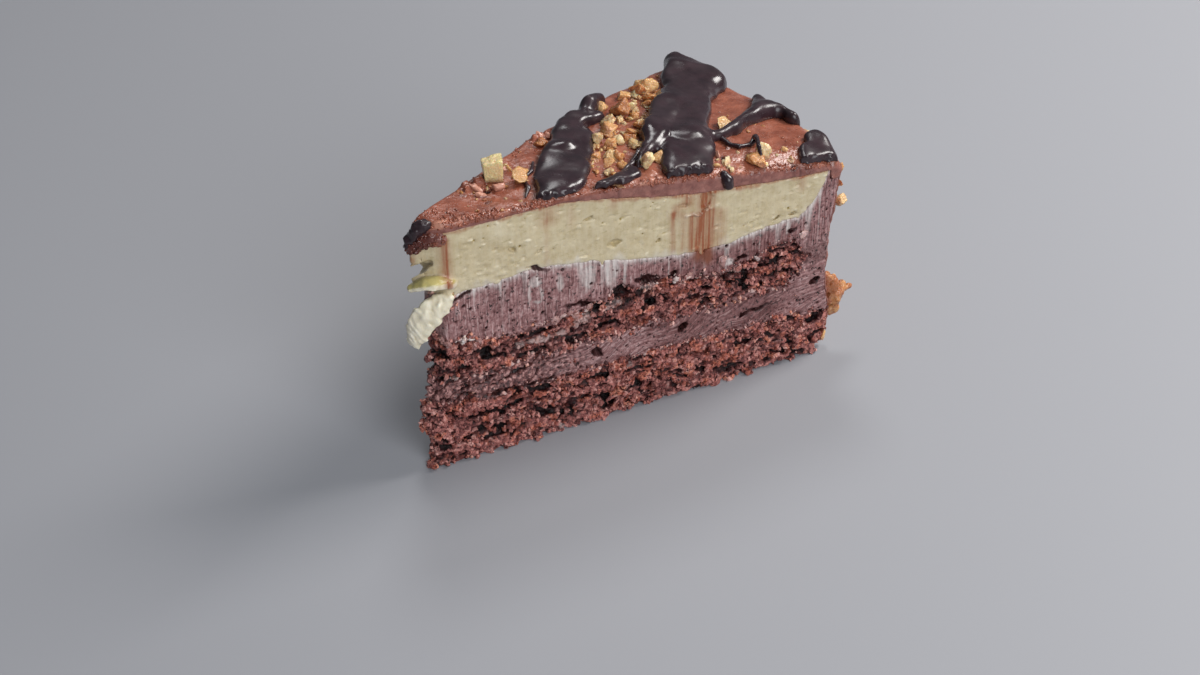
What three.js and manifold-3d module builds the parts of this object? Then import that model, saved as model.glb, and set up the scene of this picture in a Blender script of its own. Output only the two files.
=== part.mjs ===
// A slice of a tall round hazelnut chocolate torte, one twelfth of the cake, blunt and crumbled at its tip.
// From the plate up: a chocolate sponge base, chocolate mousse wrapped round a second sponge disc, a domed layer
// of vanilla cream with a torn flap and a curl at the tip, and milk-chocolate icing over the top and down the rim.
// Dark ganache is poured over the top, and chopped roast hazelnuts stick to the icing.
// Millimetres, +Z up, +X from the tip to the rim. Each layer is worked out about the axis of the whole cake.
import * as THREE from "three";
import { mergeVertices } from "three/addons/utils/BufferGeometryUtils.js";
import Module from "manifold-3d";

// Driving sizes of the slice
const CAKE_RADIUS = 128;
const SLICE_ANGLE = THREE.MathUtils.degToRad(30);
const TIP_NEAR_BASE = 10; // the tip has broken off: where the break meets the near cut, at the plate
const TIP_NEAR_TOP = 15.5; // and at the icing, both from the cake's axis
const TIP_FAR = 8.7; // where the break meets the far cut
const TIP_BITE = 4.6; // how much more is gone from the far side at half height
const TIP_FOOT_BITE = 2.8; // and at its foot
const GAP = 0.3; // clearance between neighbouring pieces

// Heights above the plate, at the middle of the cake, and how each changes towards the rim
const BASE_HEIGHT = 18.3;
const BASE_RIM_DROP = 4.6;
const DISC_FLOOR = 27.8; // underside of the second sponge
const DISC_HEIGHT = 37; // mean top of the second sponge
const DISC_SWELL = 2.6;
const DISC_SWELL_LENGTH = 60;
const DISC_SWELL_CREST = 68;
const CREAM_FLOOR = 51.8;
const CREAM_RIM_TURN = 14.3; // the cream's foot curves up this much at the rim, where the mousse wraps round it
const CREAM_RIM_TURN_START = 112;
const CREAM_RIM_TURN_LENGTH = 12;
const CREAM_TOP = 71.3;
const ICING_TOP = 73.6;
const ICING_RIM_DROP = 11;
const ICING_DOME_POWER = 2.6;
const TIP_SLUMP = 2.6; // the icing and cream sag at the very tip
const TIP_SLUMP_END = 14; // out to this distance from the axis

// Rises between two distances from the axis: [rise, from, to]
const DISC_FLOOR_RISES = [[-1.2, 12, 30]];
const CREAM_FLOOR_RISES = [
  [1.6, 12, 28],
  [-8.4, 36, 90],
  [2.2, 90, 112],
];
const CREAM_TOP_RISES = [
  [-7.6, 40, 90],
  [-3.4, 80, 126],
];

// Radii where the layers end, and the wall of icing
const DISC_RADIUS = 117;
const DISC_END_ROUNDING = 5;
const CREAM_RADIUS = 122.8;
const WALL_THICKNESS = 1.7;
const SHOULDER = 3;
const WALL_FOOT = 3.6; // the icing stops this far above the plate
const FOOT_HEIGHT = 12; // below this the rim curves in
const FOOT_UNDERCUT = 3.4;

// How finely the layers are divided
const STEP_ALONG = 2.9;
const LAYER_WEDGES = 4;
const ICING_WEDGES = 8;

const { lerp, smoothstep } = THREE.MathUtils;

// Seeded lattice noise from -1 to 1, smooth between lattice points one unit apart
function latticeValue(i, j, k, seed) {
  let h = Math.imul(i, 73856093) ^ Math.imul(j, 19349663) ^ Math.imul(k, 83492791) ^ Math.imul(seed, 40503);
  h = Math.imul(h ^ (h >>> 13), 1274126177);
  h ^= h >>> 16;
  return (h >>> 0) / 2147483648 - 1;
}

function noise(x, y, z, seed) {
  const [i, j, k] = [Math.floor(x), Math.floor(y), Math.floor(z)];
  const [u, v, w] = [x - i, y - j, z - k].map((t) => t * t * (3 - 2 * t));
  const edge = (dj, dk) =>
    lerp(latticeValue(i, j + dj, k + dk, seed), latticeValue(i + 1, j + dj, k + dk, seed), u);
  return lerp(lerp(edge(0, 0), edge(1, 0), v), lerp(edge(0, 1), edge(1, 1), v), w);
}

// Seeded random numbers from 0 to 1
function randomFrom(seed) {
  let state = seed;
  return () => {
    state = (Math.imul(state, 1664525) + 1013904223) >>> 0;
    return state / 4294967296;
  };
}

// Heights of the boundaries between the layers, by distance r from the cake's axis
const slump = (r) => TIP_SLUMP * (1 - smoothstep(r, TIP_FAR, TIP_SLUMP_END));
const risen = (rises, r) => rises.reduce((total, [rise, from, to]) => total + rise * smoothstep(r, from, to), 0);
const waves = (height, length, r, seed) => height * noise(r / length, 0, 0, seed);
const baseTop = (r) => BASE_HEIGHT - BASE_RIM_DROP * (r / CAKE_RADIUS) ** 2 + waves(0.7, 9, r, 11);
const discFloor = (r) => DISC_FLOOR + risen(DISC_FLOOR_RISES, r) + waves(1.2, 12, r, 12);
const discSwell = (r) => DISC_SWELL * Math.cos((2 * Math.PI * (r - DISC_SWELL_CREST)) / DISC_SWELL_LENGTH);
const discTop = (r) => DISC_HEIGHT + discSwell(r) + waves(0.8, 6, r, 13);
const rimTurn = (r) => CREAM_RIM_TURN * (Math.max(0, r - CREAM_RIM_TURN_START) / CREAM_RIM_TURN_LENGTH) ** 3;
const creamFloor = (r) => CREAM_FLOOR + risen(CREAM_FLOOR_RISES, r) + rimTurn(r) + waves(0.5, 7, r, 14);
const creamTop = (r) => CREAM_TOP - slump(r) + risen(CREAM_TOP_RISES, r);
const dome = (r) => ICING_TOP - slump(r) - ICING_RIM_DROP * (r / CAKE_RADIUS) ** ICING_DOME_POWER;

// Radius of the outside of the icing wall at height z: upright, and curving in at its foot
const wallRadius = (z) => CAKE_RADIUS - FOOT_UNDERCUT * (Math.max(0, FOOT_HEIGHT - z) / FOOT_HEIGHT) ** 2;

// Top of the icing over a point of the plan, with its low hand-spread waves and its rounded shoulder
function icingTop(x, y) {
  const r = Math.min(Math.hypot(x, y), CAKE_RADIUS);
  const past = Math.max(0, r - (CAKE_RADIUS - SHOULDER));
  const spread = 0.3 * noise(x / 13, y / 13, 0, 21) + 0.2 * noise(x / 6, y / 6, 0, 22);
  return dome(Math.min(r, CAKE_RADIUS - SHOULDER)) - SHOULDER + Math.sqrt(SHOULDER ** 2 - past ** 2) + spread;
}

// Distance of the broken tip from the axis, from side -1 at the near cut to side 1 at the far cut
function tipRadius(side, z) {
  const near = lerp(TIP_NEAR_BASE, TIP_NEAR_TOP, smoothstep(z, 8, 52));
  const foot = TIP_FOOT_BITE * (1 - smoothstep(z, 6, 12));
  const bite = TIP_BITE * smoothstep(z, 20, 32) * (1 - smoothstep(z, 52, 58));
  return lerp(near, TIP_FAR + foot + bite, (side + 1) / 2);
}

// Distances from the axis at which the layers have their corners: the tip, then shared rows up to the layer's end
function radiiTo(end) {
  const first = TIP_NEAR_TOP + 2.4;
  const count = Math.ceil((end - first) / STEP_ALONG - 0.5);
  const rows = Array.from({ length: count }, (_, i) => first + i * STEP_ALONG);
  return [(TIP_NEAR_TOP + TIP_FAR) / 2, ...rows, end];
}

// A closed box of na x nb x nc divisions, each corner moved to place(i, j, k)
function mappedBox(na, nb, nc, place) {
  const geometry = new THREE.BoxGeometry(1, 1, 1, na, nb, nc);
  geometry.deleteAttribute("normal");
  geometry.deleteAttribute("uv");
  const merged = mergeVertices(geometry, 1e-5);
  const position = merged.getAttribute("position");
  for (let v = 0; v < position.count; v++) {
    const i = Math.round((position.getX(v) + 0.5) * na);
    const j = Math.round((position.getY(v) + 0.5) * nb);
    const k = Math.round((position.getZ(v) + 0.5) * nc);
    position.setXYZ(v, ...place(i, j, k));
  }
  return merged;
}

const AT_TIP = 5; // the side that a relief is asked for at the tip; at the cuts it is -1 or 1

// A layer of the slice: the band between two rows of [r, z] stations, swept from the near cut to the far cut.
// crag(along, z, side) pushes the cut faces and the tip out, and tips says which ends of the band are at the tip.
function sweptLayer(lower, upper, wedges, rows, crag, tips) {
  const last = lower.length - 1;
  return mappedBox(last, wedges, rows, (i, j, k) => {
    let r = lerp(lower[i][0], upper[i][0], k / rows);
    const z = lerp(lower[i][1], upper[i][1], k / rows);
    const side = (2 * j) / wedges - 1;
    const angle = (side * SLICE_ANGLE) / 2;
    if ((i === 0 && tips.start) || (i === last && tips.end)) {
      r = tipRadius(side, z) - crag(side * 4, z, AT_TIP);
    }
    const push = Math.abs(side) === 1 ? crag(r, z, side) * side : 0;
    return [r * Math.cos(angle) - push * Math.sin(angle), r * Math.sin(angle) + push * Math.cos(angle), z];
  });
}

// Relief of the cut faces: crumbling sponge is rough, mousse and cream are nearly smooth
const crumble = (seed, depth) => (along, z, side) =>
  depth * (noise(along / 4.6, z / 3.2, side, seed) + 0.6 * noise(along / 2.4, z / 2.1, side, seed + 1)) - 0.2;
const drag = (seed, depth) => (along, z, side) => depth * noise(along / 5, z / 9, side, seed) - 0.1;

function baseSponge() {
  const radii = radiiTo(CAKE_RADIUS - WALL_THICKNESS - 2 * GAP);
  const inside = (r, z) => Math.min(r, wallRadius(z) - WALL_THICKNESS - 2 * GAP);
  const lower = radii.map((r) => [inside(r, 0), 0]);
  const upper = radii.map((r) => [r, baseTop(r)]);
  const last = radii.length - 1;
  lower[last][0] = wallRadius(0) - WALL_THICKNESS - 2 * GAP;
  lower[last - 1][0] = Math.min(lower[last - 1][0], lower[last][0] - 1);
  return sweptLayer(lower, upper, LAYER_WEDGES, 6, crumble(31, 0.95), { start: true });
}

// The end of the sponge disc is rounded: its outline at angle t, from -1 below to 1 above, grown by a margin
function discEnd(t, margin) {
  const r0 = DISC_RADIUS - DISC_END_ROUNDING;
  const middle = (discFloor(r0) + discTop(r0)) / 2;
  const half = (discTop(r0) - discFloor(r0)) / 2 + margin;
  const angle = (t * Math.PI) / 2;
  return [r0 + (DISC_END_ROUNDING + margin) * Math.cos(angle), middle + half * Math.sin(angle)];
}

function spongeDisc() {
  const radii = radiiTo(DISC_RADIUS - DISC_END_ROUNDING);
  const ends = [0.7, 0.4, 0.15];
  const lower = [...radii.map((r) => [r, discFloor(r)]), ...ends.map((t) => discEnd(-t, 0))];
  const upper = [...radii.map((r) => [r, discTop(r)]), ...ends.map((t) => discEnd(t, 0))];
  return sweptLayer(lower, upper, LAYER_WEDGES, 3, crumble(41, 0.8), { start: true });
}

const MOUSSE_CREST_RADIUS = CREAM_RADIUS + 1.2; // the mousse's edge stands up between the cream and the icing
const MOUSSE_CREST_DROP = 3; // and ends this far under the top of the cream

// Mousse runs under the sponge disc, up its outer edge and back over it, as one folded band
function chocolateMousse() {
  const radii = radiiTo(DISC_RADIUS - DISC_END_ROUNDING);
  const beyond = (rows) => rows.filter((r) => r >= radii.at(-1));
  const rim = CAKE_RADIUS - WALL_THICKNESS - GAP;
  const crest = MOUSSE_CREST_RADIUS;
  const wall = [0.33, 0.66].map((t) => [rim, lerp(baseTop(rim), creamTop(rim), t)]);
  const turn = [
    ...beyond([...radiiTo(rim - GAP), rim]).map((r) => [r, baseTop(r) + GAP]),
    ...wall,
    [rim, creamTop(rim) - MOUSSE_CREST_DROP],
    [crest, creamTop(crest) - MOUSSE_CREST_DROP],
    ...beyond(radiiTo(CREAM_RADIUS)).reverse().map((r) => [r, creamFloor(r) - GAP]),
  ];
  const out = radii.slice(0, -1);
  const back = [...out].reverse();
  const outer = [
    ...out.map((r) => [r, baseTop(r) + GAP]),
    ...turn,
    [radii.at(-1), creamFloor(radii.at(-1)) - GAP],
    ...back.map((r) => [r, creamFloor(r) - GAP]),
  ];
  const inner = [
    ...out.map((r) => [r, discFloor(r) - GAP]),
    ...turn.map((_, n) => discEnd(-1 + (2 * n) / turn.length, GAP)),
    discEnd(1, GAP),
    ...back.map((r) => [r, discTop(r) + GAP]),
  ];
  return sweptLayer(outer, inner, LAYER_WEDGES, 2, drag(51, 0.35), { start: true, end: true });
}

const STRIP_STEPS = 9;
const STRIP_THINNING = 0.65; // how much thinner a strip is at its edges
const STRIP_TAPER = 0.55; // and at its far end
const STRIP_RIDGE = 0.35; // height of the ridges across it

// A strip of torn cream: a band bent along a curve, thick in the middle and thin at its edges.
// Each point of path is [x, y, z]; across is the way it is wide; grow makes it fatter, to cut room for it.
function creamStrip({ path, width, thickness, across }, grow = 0) {
  const curve = new THREE.CatmullRomCurve3(path.map((point) => new THREE.Vector3(...point)));
  const sideways = new THREE.Vector3(...across).normalize();
  return mappedBox(STRIP_STEPS, 4, 2, (i, j, k) => {
    const t = i / STRIP_STEPS;
    const along = curve.getTangent(t);
    const face = new THREE.Vector3().crossVectors(along, sideways).normalize();
    const w = j / 2 - 1;
    const body = 1 - STRIP_THINNING * w * w;
    const taper = 1 - STRIP_TAPER * t * t;
    const ridge = k === 2 ? STRIP_RIDGE * Math.cos(i * Math.PI) : 0;
    const end = i === 0 ? -grow : i === STRIP_STEPS ? grow : 0;
    return curve
      .getPoint(t)
      .addScaledVector(sideways, w * ((width * taper) / 2 + grow))
      .addScaledVector(face, (k - 1) * (0.5 * thickness * body * taper + grow) + ridge)
      .addScaledVector(along, end)
      .toArray();
  });
}

// The flap stands out from the cream's foot at the tip, and the curl has peeled off below it
const CREAM_FLAP = {
  path: [
    [16, -3, 55.8],
    [12.6, -2.6, 57.4],
    [9.8, -1.5, 57.6],
    [6.8, 0.2, 56.6],
  ],
  width: 6.4,
  thickness: 3.2,
  across: [-0.72, -0.69, 0.2],
};
const CREAM_CURL = {
  path: [
    [16, -3.6, 53],
    [12.9, -3.2, 50.8],
    [10, -2.2, 48],
    [7.6, -1, 44],
    [6.2, 0.2, 40.5],
    [6.6, 1.2, 38.4],
  ],
  width: 6.6,
  thickness: 3.4,
  across: [0.45, -0.5, -0.75],
};

function vanillaCream() {
  const radii = radiiTo(CREAM_RADIUS);
  return sweptLayer(
    radii.map((r) => [r, creamFloor(r)]),
    radii.map((r) => [r, creamTop(r)]),
    LAYER_WEDGES,
    5,
    drag(61, 0.4),
    { start: true },
  );
}

const SHOULDER_STEPS = 4;
const WALL_STEPS = 10;
const INNER_CORNER_DROP = 1.4; // the icing is thicker inside its shoulder
const ICING_LIP = 1.2; // at the tip the top of the icing reaches this much past its underside

// Icing: a sheet over the cream, round the shoulder and down the rim, with the nuts stuck in it
function icingSheet() {
  const radii = radiiTo(CREAM_RADIUS - 0.6);
  const rimInside = CAKE_RADIUS - WALL_THICKNESS;
  const outer = radii.map((r) => [r, null]);
  const inner = radii.map((r) => [r, creamTop(r) + GAP]);
  const innerCorner = creamTop(CREAM_RADIUS) + GAP;
  for (let n = 0; n <= SHOULDER_STEPS; n++) {
    const t = n / SHOULDER_STEPS;
    outer.push([CAKE_RADIUS - SHOULDER * (1 - Math.sin((t * Math.PI) / 2)), null]);
    inner.push([lerp(CREAM_RADIUS, rimInside, t), innerCorner - (t === 1 ? INNER_CORNER_DROP : 0)]);
  }
  const top = outer.length;
  const wallTop = dome(CAKE_RADIUS - SHOULDER) - SHOULDER;
  for (let n = 1; n <= WALL_STEPS; n++) {
    const t = n / WALL_STEPS;
    const z = lerp(wallTop, WALL_FOOT, t);
    outer.push([wallRadius(z), z]);
    inner.push([wallRadius(z) - WALL_THICKNESS, lerp(innerCorner - INNER_CORNER_DROP, WALL_FOOT, t)]);
  }
  const last = outer.length - 1;
  const smear = drag(71, 0.35);
  return mappedBox(last, ICING_WEDGES, 1, (i, j, k) => {
    const side = (2 * j) / ICING_WEDGES - 1;
    const angle = (side * SLICE_ANGLE) / 2;
    let [r, z] = k === 1 ? outer[i] : inner[i];
    if (i === 0) r = tipRadius(side, ICING_TOP) - ICING_LIP * (0.5 + k);
    if (k === 1 && i >= top) r += 0.35 * noise(z / 6, side * 5, 0, 23);
    let x = r * Math.cos(angle);
    let y = r * Math.sin(angle);
    if (z === null) z = i === top - 1 ? wallTop : icingTop(x, y);
    if (Math.abs(side) === 1) {
      const push = smear(r, z, side) * side;
      x -= push * Math.sin(angle);
      y += push * Math.cos(angle);
    }
    return [x, y, z];
  });
}

// A nut's length, breadth and thickness as shares of its size: the least, and how much more there may be
const NUT_SHAPE = [
  [0.9, 0.5],
  [0.7, 0.3],
  [0.6, 0.3],
];

// A chopped nut: a squashed lump with knocked-off corners, sunk a little into what it lies on
function nutChunk(size, seed) {
  const random = randomFrom(seed);
  const shape = new THREE.IcosahedronGeometry(0.5, 0);
  shape.deleteAttribute("normal");
  shape.deleteAttribute("uv");
  const lump = mergeVertices(shape, 1e-4);
  const position = lump.getAttribute("position");
  for (let v = 0; v < position.count; v++) {
    const knock = 0.8 + 0.45 * random();
    position.setXYZ(v, position.getX(v) * knock, position.getY(v) * knock, position.getZ(v) * knock);
  }
  lump.scale(...NUT_SHAPE.map(([least, more]) => size * (least + more * random())));
  lump.rotateX(random() * Math.PI);
  lump.rotateY(random() * Math.PI);
  lump.rotateZ(random() * Math.PI);
  return lump;
}

// Nuts that stand out on the top: [x, y, size]
const LARGE_NUTS = [
  [37.8, 5.8, 7.2],
  [41, 0.4, 4.8],
  [57.6, 11.4, 3.8],
  [64.2, -4.4, 4.6],
  [69.2, 2.6, 4.8],
  [75.4, 6.4, 6.2],
  [79.8, 9.8, 4.8],
  [85.2, 12.4, 6.4],
  [99, 19.4, 6],
  [72.4, -12.2, 5.2],
  [105, -6.6, 6.4],
  [99.6, -24, 6.2],
];

const NUT_SUNK = 0.9; // how deep a nut is pressed into the icing

function nutOnTop(nut, x, y) {
  nut.computeBoundingBox();
  return nut.translate(x, y, icingTop(x, y) - NUT_SUNK - nut.boundingBox.min.z);
}

function nutOnRim(nut, angle, z, clearance) {
  nut.computeBoundingBox();
  return nut.translate(wallRadius(z) + clearance - nut.boundingBox.min.x, 0, z).rotateZ(angle);
}

// Small bits lie in the band between the two broad pours: the line they follow, how far they stray from it,
// and the least size and how much more there may be
const SMALL_NUTS = { count: 22, from: [62, -7], to: [100, 20], stray: 7, size: [2.4, 1.6] };

function topNuts() {
  const random = randomFrom(7);
  const { count, from, to, stray, size } = SMALL_NUTS;
  const nuts = LARGE_NUTS.map(([x, y, large], n) => nutOnTop(nutChunk(large, 100 + n), x, y));
  for (let n = 0; n < count; n++) {
    const along = random();
    const [x, y] = [0, 1].map((axis) => lerp(from[axis], to[axis], along) + stray * (random() - 0.5));
    nuts.push(nutOnTop(nutChunk(size[0] + size[1] * random(), 200 + n), x, y));
  }
  return nuts;
}

// Two larger nuts on the rim show past the near cut: [angle from the cut, height, size]
const CORNER_NUTS = [
  [0.022, 60, 5.4],
  [0.02, 44, 5],
];

// The others are spread over the wall: between two shares of the slice's angle and two heights
const WALL_NUTS = { count: 16, turns: [-0.42, 0.47], heights: [14, 58], stray: 4, size: [3.6, 2.4] };
const GOLDEN_STEP = 0.382; // share of the height from one nut to the next, so that they spread evenly

function wallNuts() {
  const random = randomFrom(19);
  const { count, turns, heights, stray, size } = WALL_NUTS;
  const corner = CORNER_NUTS.map(([turn, z, large], n) =>
    nutOnRim(nutChunk(large, 400 + n), turn - SLICE_ANGLE / 2, z, -NUT_SUNK),
  );
  const spread = Array.from({ length: count }, (_, n) => {
    const angle = SLICE_ANGLE * lerp(...turns, (n + random()) / count);
    const z = lerp(...heights, (n * GOLDEN_STEP) % 1) + stray * (random() - 0.5);
    return nutOnRim(nutChunk(size[0] + size[1] * random(), 300 + n), angle, z, -NUT_SUNK);
  });
  return [...corner, ...spread];
}

const POUR_SUNK = 0.8; // a pour starts this far under the icing's surface, and is then trimmed by it
const POUR_EDGE = 0.45; // thickness of a pour's rounded edge
const POUR_ROUNDING = 4; // how flat a pour is across: the power of its section
const POUR_STEP = 3;
const POUR_WEDGES = 6;
const POUR_RIM = 0.9; // a pour stops this far inside the rim

// A pour of ganache along a line on the plan, domed across, lying on the icing.
// Each station is [x, y, width, height]; grow makes it fatter, to cut room for it.
function pour(stations, grow = 0) {
  const middle = new THREE.CatmullRomCurve3(stations.map(([x, y]) => new THREE.Vector3(x, y, 0)));
  const sizes = new THREE.CatmullRomCurve3(stations.map(([, , w, h]) => new THREE.Vector3(w, h, 0)));
  const steps = Math.max(4, Math.round(middle.getLength() / POUR_STEP));
  return mappedBox(steps, POUR_WEDGES, 1, (i, j, k) => {
    const t = i / steps;
    const at = middle.getPoint(t);
    const along = middle.getTangent(t);
    const { x: width, y: height } = sizes.getPoint(t);
    const across = Math.sin((j / POUR_WEDGES - 0.5) * Math.PI);
    const end = i === 0 ? -grow : i === steps ? grow : 0;
    const offset = across * (width / 2 + grow);
    const x = at.x - along.y * offset + along.x * end;
    const y = at.y + along.x * offset + along.y * end;
    const r = Math.hypot(x, y);
    const most = CAKE_RADIUS - POUR_RIM + grow;
    const hold = r > most ? most / r : 1;
    const domed = POUR_EDGE + (height - POUR_EDGE) * Math.sqrt(Math.max(0, 1 - across ** POUR_ROUNDING));
    const ground = icingTop(x * hold, y * hold);
    return [x * hold, y * hold, k === 0 ? ground - POUR_SUNK : ground + GAP + domed + grow];
  });
}

// The pours, by where they run over the top: [x, y, width, height] along each
const POURS = {
  ganache_left: [
    [
      [44.8, -11.2, 12, 2],
      [50.5, -4.8, 13.4, 2.3],
      [57, 0.4, 12.2, 2.4],
      [63, 5.6, 10, 2.6],
      [68.5, 11, 8, 2.8],
    ],
    [
      [66, 12.2, 7, 3],
      [72.6, 14.8, 7.6, 3.8],
      [78, 14, 5.4, 3.2],
    ],
    [
      [74, 15.6, 5.6, 3.2],
      [79.8, 18.6, 5.6, 4.8],
      [84.5, 21, 3.4, 3.6],
    ],
  ],
  ganache_middle: [
    [
      [80, -20.4, 11.4, 2.6],
      [85, -14.4, 12.6, 3.2],
      [91, -8, 13.2, 3],
      [98.6, 2.8, 14.4, 3.2],
      [105.4, 8.8, 15.4, 3.2],
      [113.6, 15.6, 16.4, 4],
      [119.6, 20.6, 18, 5],
      [122.4, 26.4, 15, 4],
    ],
    [
      [99, 8.5, 8, 3.2],
      [93.5, 5.4, 8.4, 4],
      [87.6, 1.4, 7.4, 4.2],
      [82.6, -2.4, 5.4, 3],
      [78, -5.4, 2.8, 2],
      [72, -8.6, 1.8, 1.5],
    ],
    [
      [97, -9.6, 4.4, 2.6],
      [103.5, -9.8, 3.6, 2.6],
      [112, -7.4, 4.6, 3.2],
      [119, -5.2, 6, 3.6],
      [123.4, -5, 5.6, 3.6],
      [123.6, -9.6, 4.6, 3],
    ],
  ],
  ganache_corner: [
    [
      [114.6, -28.4, 7.5, 2],
      [118.4, -26, 9.4, 2.4],
      [121.6, -23.4, 7, 2.2],
    ],
  ],
  ganache_front: [
    [
      [57.4, -13.4, 3, 1.6],
      [61.5, -14.2, 4.2, 2.2],
      [66.2, -12.8, 3, 1.6],
    ],
  ],
  ganache_tip: [
    [
      [13.4, -1.6, 2.8, 2],
      [12.2, -0.6, 3.8, 3.4],
      [10.8, 0.4, 2.8, 2],
    ],
  ],
};

const ROOM_BEYOND = 5; // how far the room for the pours reaches past the rim
const ROOM_ABOVE = 20; // and above the icing

// The space above the cream, inside the two cuts and out to the icing's lip, where the pours end with the slice
function sliceRoom() {
  const radii = radiiTo(CAKE_RADIUS + ROOM_BEYOND);
  const inset = (along, z, side) => (side === AT_TIP ? ICING_LIP : -2 * GAP);
  return sweptLayer(
    radii.map((r) => [r, CREAM_TOP - ICING_RIM_DROP]),
    radii.map((r) => [r, ICING_TOP + ROOM_ABOVE]),
    LAYER_WEDGES,
    1,
    inset,
    { start: true },
  );
}

// The big piece of nut low on the rim, beside the near cut; grow makes it fatter, to cut room for it
const RIM_NUT = { size: 10.5, turn: 0.036, height: 16.6, clearance: 0.8 };

function rimNut(grow = 0) {
  const { size, turn, height, clearance } = RIM_NUT;
  return nutOnRim(nutChunk(size + 2 * grow, 77), turn - SLICE_ANGLE / 2, height, clearance - grow);
}

const manifold = await Module();
manifold.setup();

function toSolid(geometry) {
  return new manifold.Manifold(
    new manifold.Mesh({
      numProp: 3,
      vertProperties: new Float32Array(geometry.getAttribute("position").array),
      triVerts: new Uint32Array(geometry.index.array),
    }),
  );
}

function toGeometry(solid) {
  const mesh = solid.getMesh();
  const geometry = new THREE.BufferGeometry();
  geometry.setAttribute("position", new THREE.BufferAttribute(new Float32Array(mesh.vertProperties), 3));
  geometry.setIndex(new THREE.BufferAttribute(new Uint32Array(mesh.triVerts), 1));
  return geometry;
}

const joined = (geometries) => geometries.map(toSolid).reduce((whole, piece) => whole.add(piece));
const largestBody = (solid) => solid.decompose().sort((a, b) => b.volume() - a.volume())[0];

const materials = {
  sponge: new THREE.MeshStandardMaterial({ color: 0x6e3a2e, roughness: 0.95, metalness: 0 }),
  mousse: new THREE.MeshStandardMaterial({ color: 0x6f4f4c, roughness: 0.6, metalness: 0 }),
  cream: new THREE.MeshStandardMaterial({ color: 0xd2c79f, roughness: 0.5, metalness: 0 }),
  icing: new THREE.MeshStandardMaterial({ color: 0x9c5c48, roughness: 0.45, metalness: 0 }),
  ganache: new THREE.MeshStandardMaterial({ color: 0x2b2023, roughness: 0.25, metalness: 0 }),
  nut: new THREE.MeshStandardMaterial({ color: 0xc9923f, roughness: 0.5, metalness: 0 }),
};

const slice = new THREE.Group();
function addPiece(name, geometry, material) {
  const mesh = new THREE.Mesh(geometry, material);
  mesh.name = name;
  slice.add(mesh);
}

addPiece("base_sponge", baseSponge(), materials.sponge);
addPiece("sponge_disc", spongeDisc(), materials.sponge);

const cream = joined([vanillaCream(), creamStrip(CREAM_FLAP), creamStrip(CREAM_CURL)]);
const mousse = toSolid(chocolateMousse()).subtract(toSolid(creamStrip(CREAM_CURL, 1.5 * GAP)));
addPiece("chocolate_mousse", toGeometry(largestBody(mousse)), materials.mousse);
addPiece("vanilla_cream", toGeometry(cream), materials.cream);

const sheet = toSolid(icingSheet());
const raisedSheet = sheet.translate([0, 0, GAP]);
const room = joined(Object.values(POURS).flat().map((line) => pour(line, GAP))).subtract(sheet);
const nuts = joined([...topNuts(), ...wallNuts()]).subtract(room).subtract(toSolid(rimNut(2 * GAP)));
addPiece("milk_icing", toGeometry(largestBody(sheet.add(nuts))), materials.icing);

for (const [name, lines] of Object.entries(POURS)) {
  const ganache = joined(lines.map((line) => pour(line))).intersect(toSolid(sliceRoom())).subtract(raisedSheet);
  addPiece(name, toGeometry(largestBody(ganache)), materials.ganache);
}
addPiece("rim_nut", rimNut(), materials.nut);

// The origin is under the middle of the slice's box, on the plate
const box = new THREE.Box3().setFromObject(slice, true);
slice.children.forEach((mesh) => {
  mesh.position.set(-(box.min.x + box.max.x) / 2, -(box.min.y + box.max.y) / 2, -box.min.z);
});

export default slice;
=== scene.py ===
"""A slice of hazelnut chocolate torte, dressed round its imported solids.

Every layer is a field: a distance in millimetres, below zero inside the food. It is sampled on a grid that is
fine at the two cuts and coarse between them, and meshed where it crosses zero. Crumbs, pores, tears and
knife marks are part of the fields, so they are real shape. Lengths are millimetres about the axis of the
whole cake, +X from the tip to the rim and the near cut on the -Y side, until a mesh is made, which is in
metres in the row frame.
"""

import itertools
import math

import bmesh
import bpy
import numpy as np
from mathutils import Matrix, Vector


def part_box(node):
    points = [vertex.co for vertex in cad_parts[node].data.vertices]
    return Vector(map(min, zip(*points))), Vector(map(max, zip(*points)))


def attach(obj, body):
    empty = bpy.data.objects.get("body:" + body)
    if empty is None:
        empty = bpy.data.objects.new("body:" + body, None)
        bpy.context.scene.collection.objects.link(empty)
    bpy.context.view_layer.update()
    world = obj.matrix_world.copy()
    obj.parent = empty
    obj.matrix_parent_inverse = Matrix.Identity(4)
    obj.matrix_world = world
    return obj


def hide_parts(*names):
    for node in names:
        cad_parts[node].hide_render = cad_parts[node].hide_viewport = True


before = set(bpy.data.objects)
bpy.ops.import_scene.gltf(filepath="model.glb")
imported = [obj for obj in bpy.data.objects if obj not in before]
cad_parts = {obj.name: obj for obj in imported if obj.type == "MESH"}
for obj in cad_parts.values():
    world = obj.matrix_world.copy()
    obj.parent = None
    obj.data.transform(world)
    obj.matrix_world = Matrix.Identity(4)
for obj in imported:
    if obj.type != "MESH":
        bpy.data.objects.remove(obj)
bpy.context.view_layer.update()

# Sizes that the solids are made from
CAKE_RADIUS = 128.0
HALF_ANGLE = math.radians(15)
SIN, COS = math.sin(HALF_ANGLE), math.cos(HALF_ANGLE)
TAN = SIN / COS
GAP = 0.3
WALL_THICKNESS = 1.7
WALL_FOOT = 3.6
FOOT_HEIGHT = 12.0
FOOT_UNDERCUT = 3.4
SHOULDER = 3.0
CREAM_END = 124.0  # the cream shows this far out, thinly, over the mousse
WALL_SHOWN = 1.2  # thickness of the icing on the wall, as it shows
DISC_RIM_RISE = 2.4
DISC_RADIUS = 117.0
DISC_END_ROUNDING = 5.0
TIP_NEAR_BASE, TIP_NEAR_TOP = 10.0, 15.5
TIP_FAR, TIP_BITE = 8.7, 4.6
ICING_TOP = 73.6
ICING_RIM_DROP = 11.0
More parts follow.
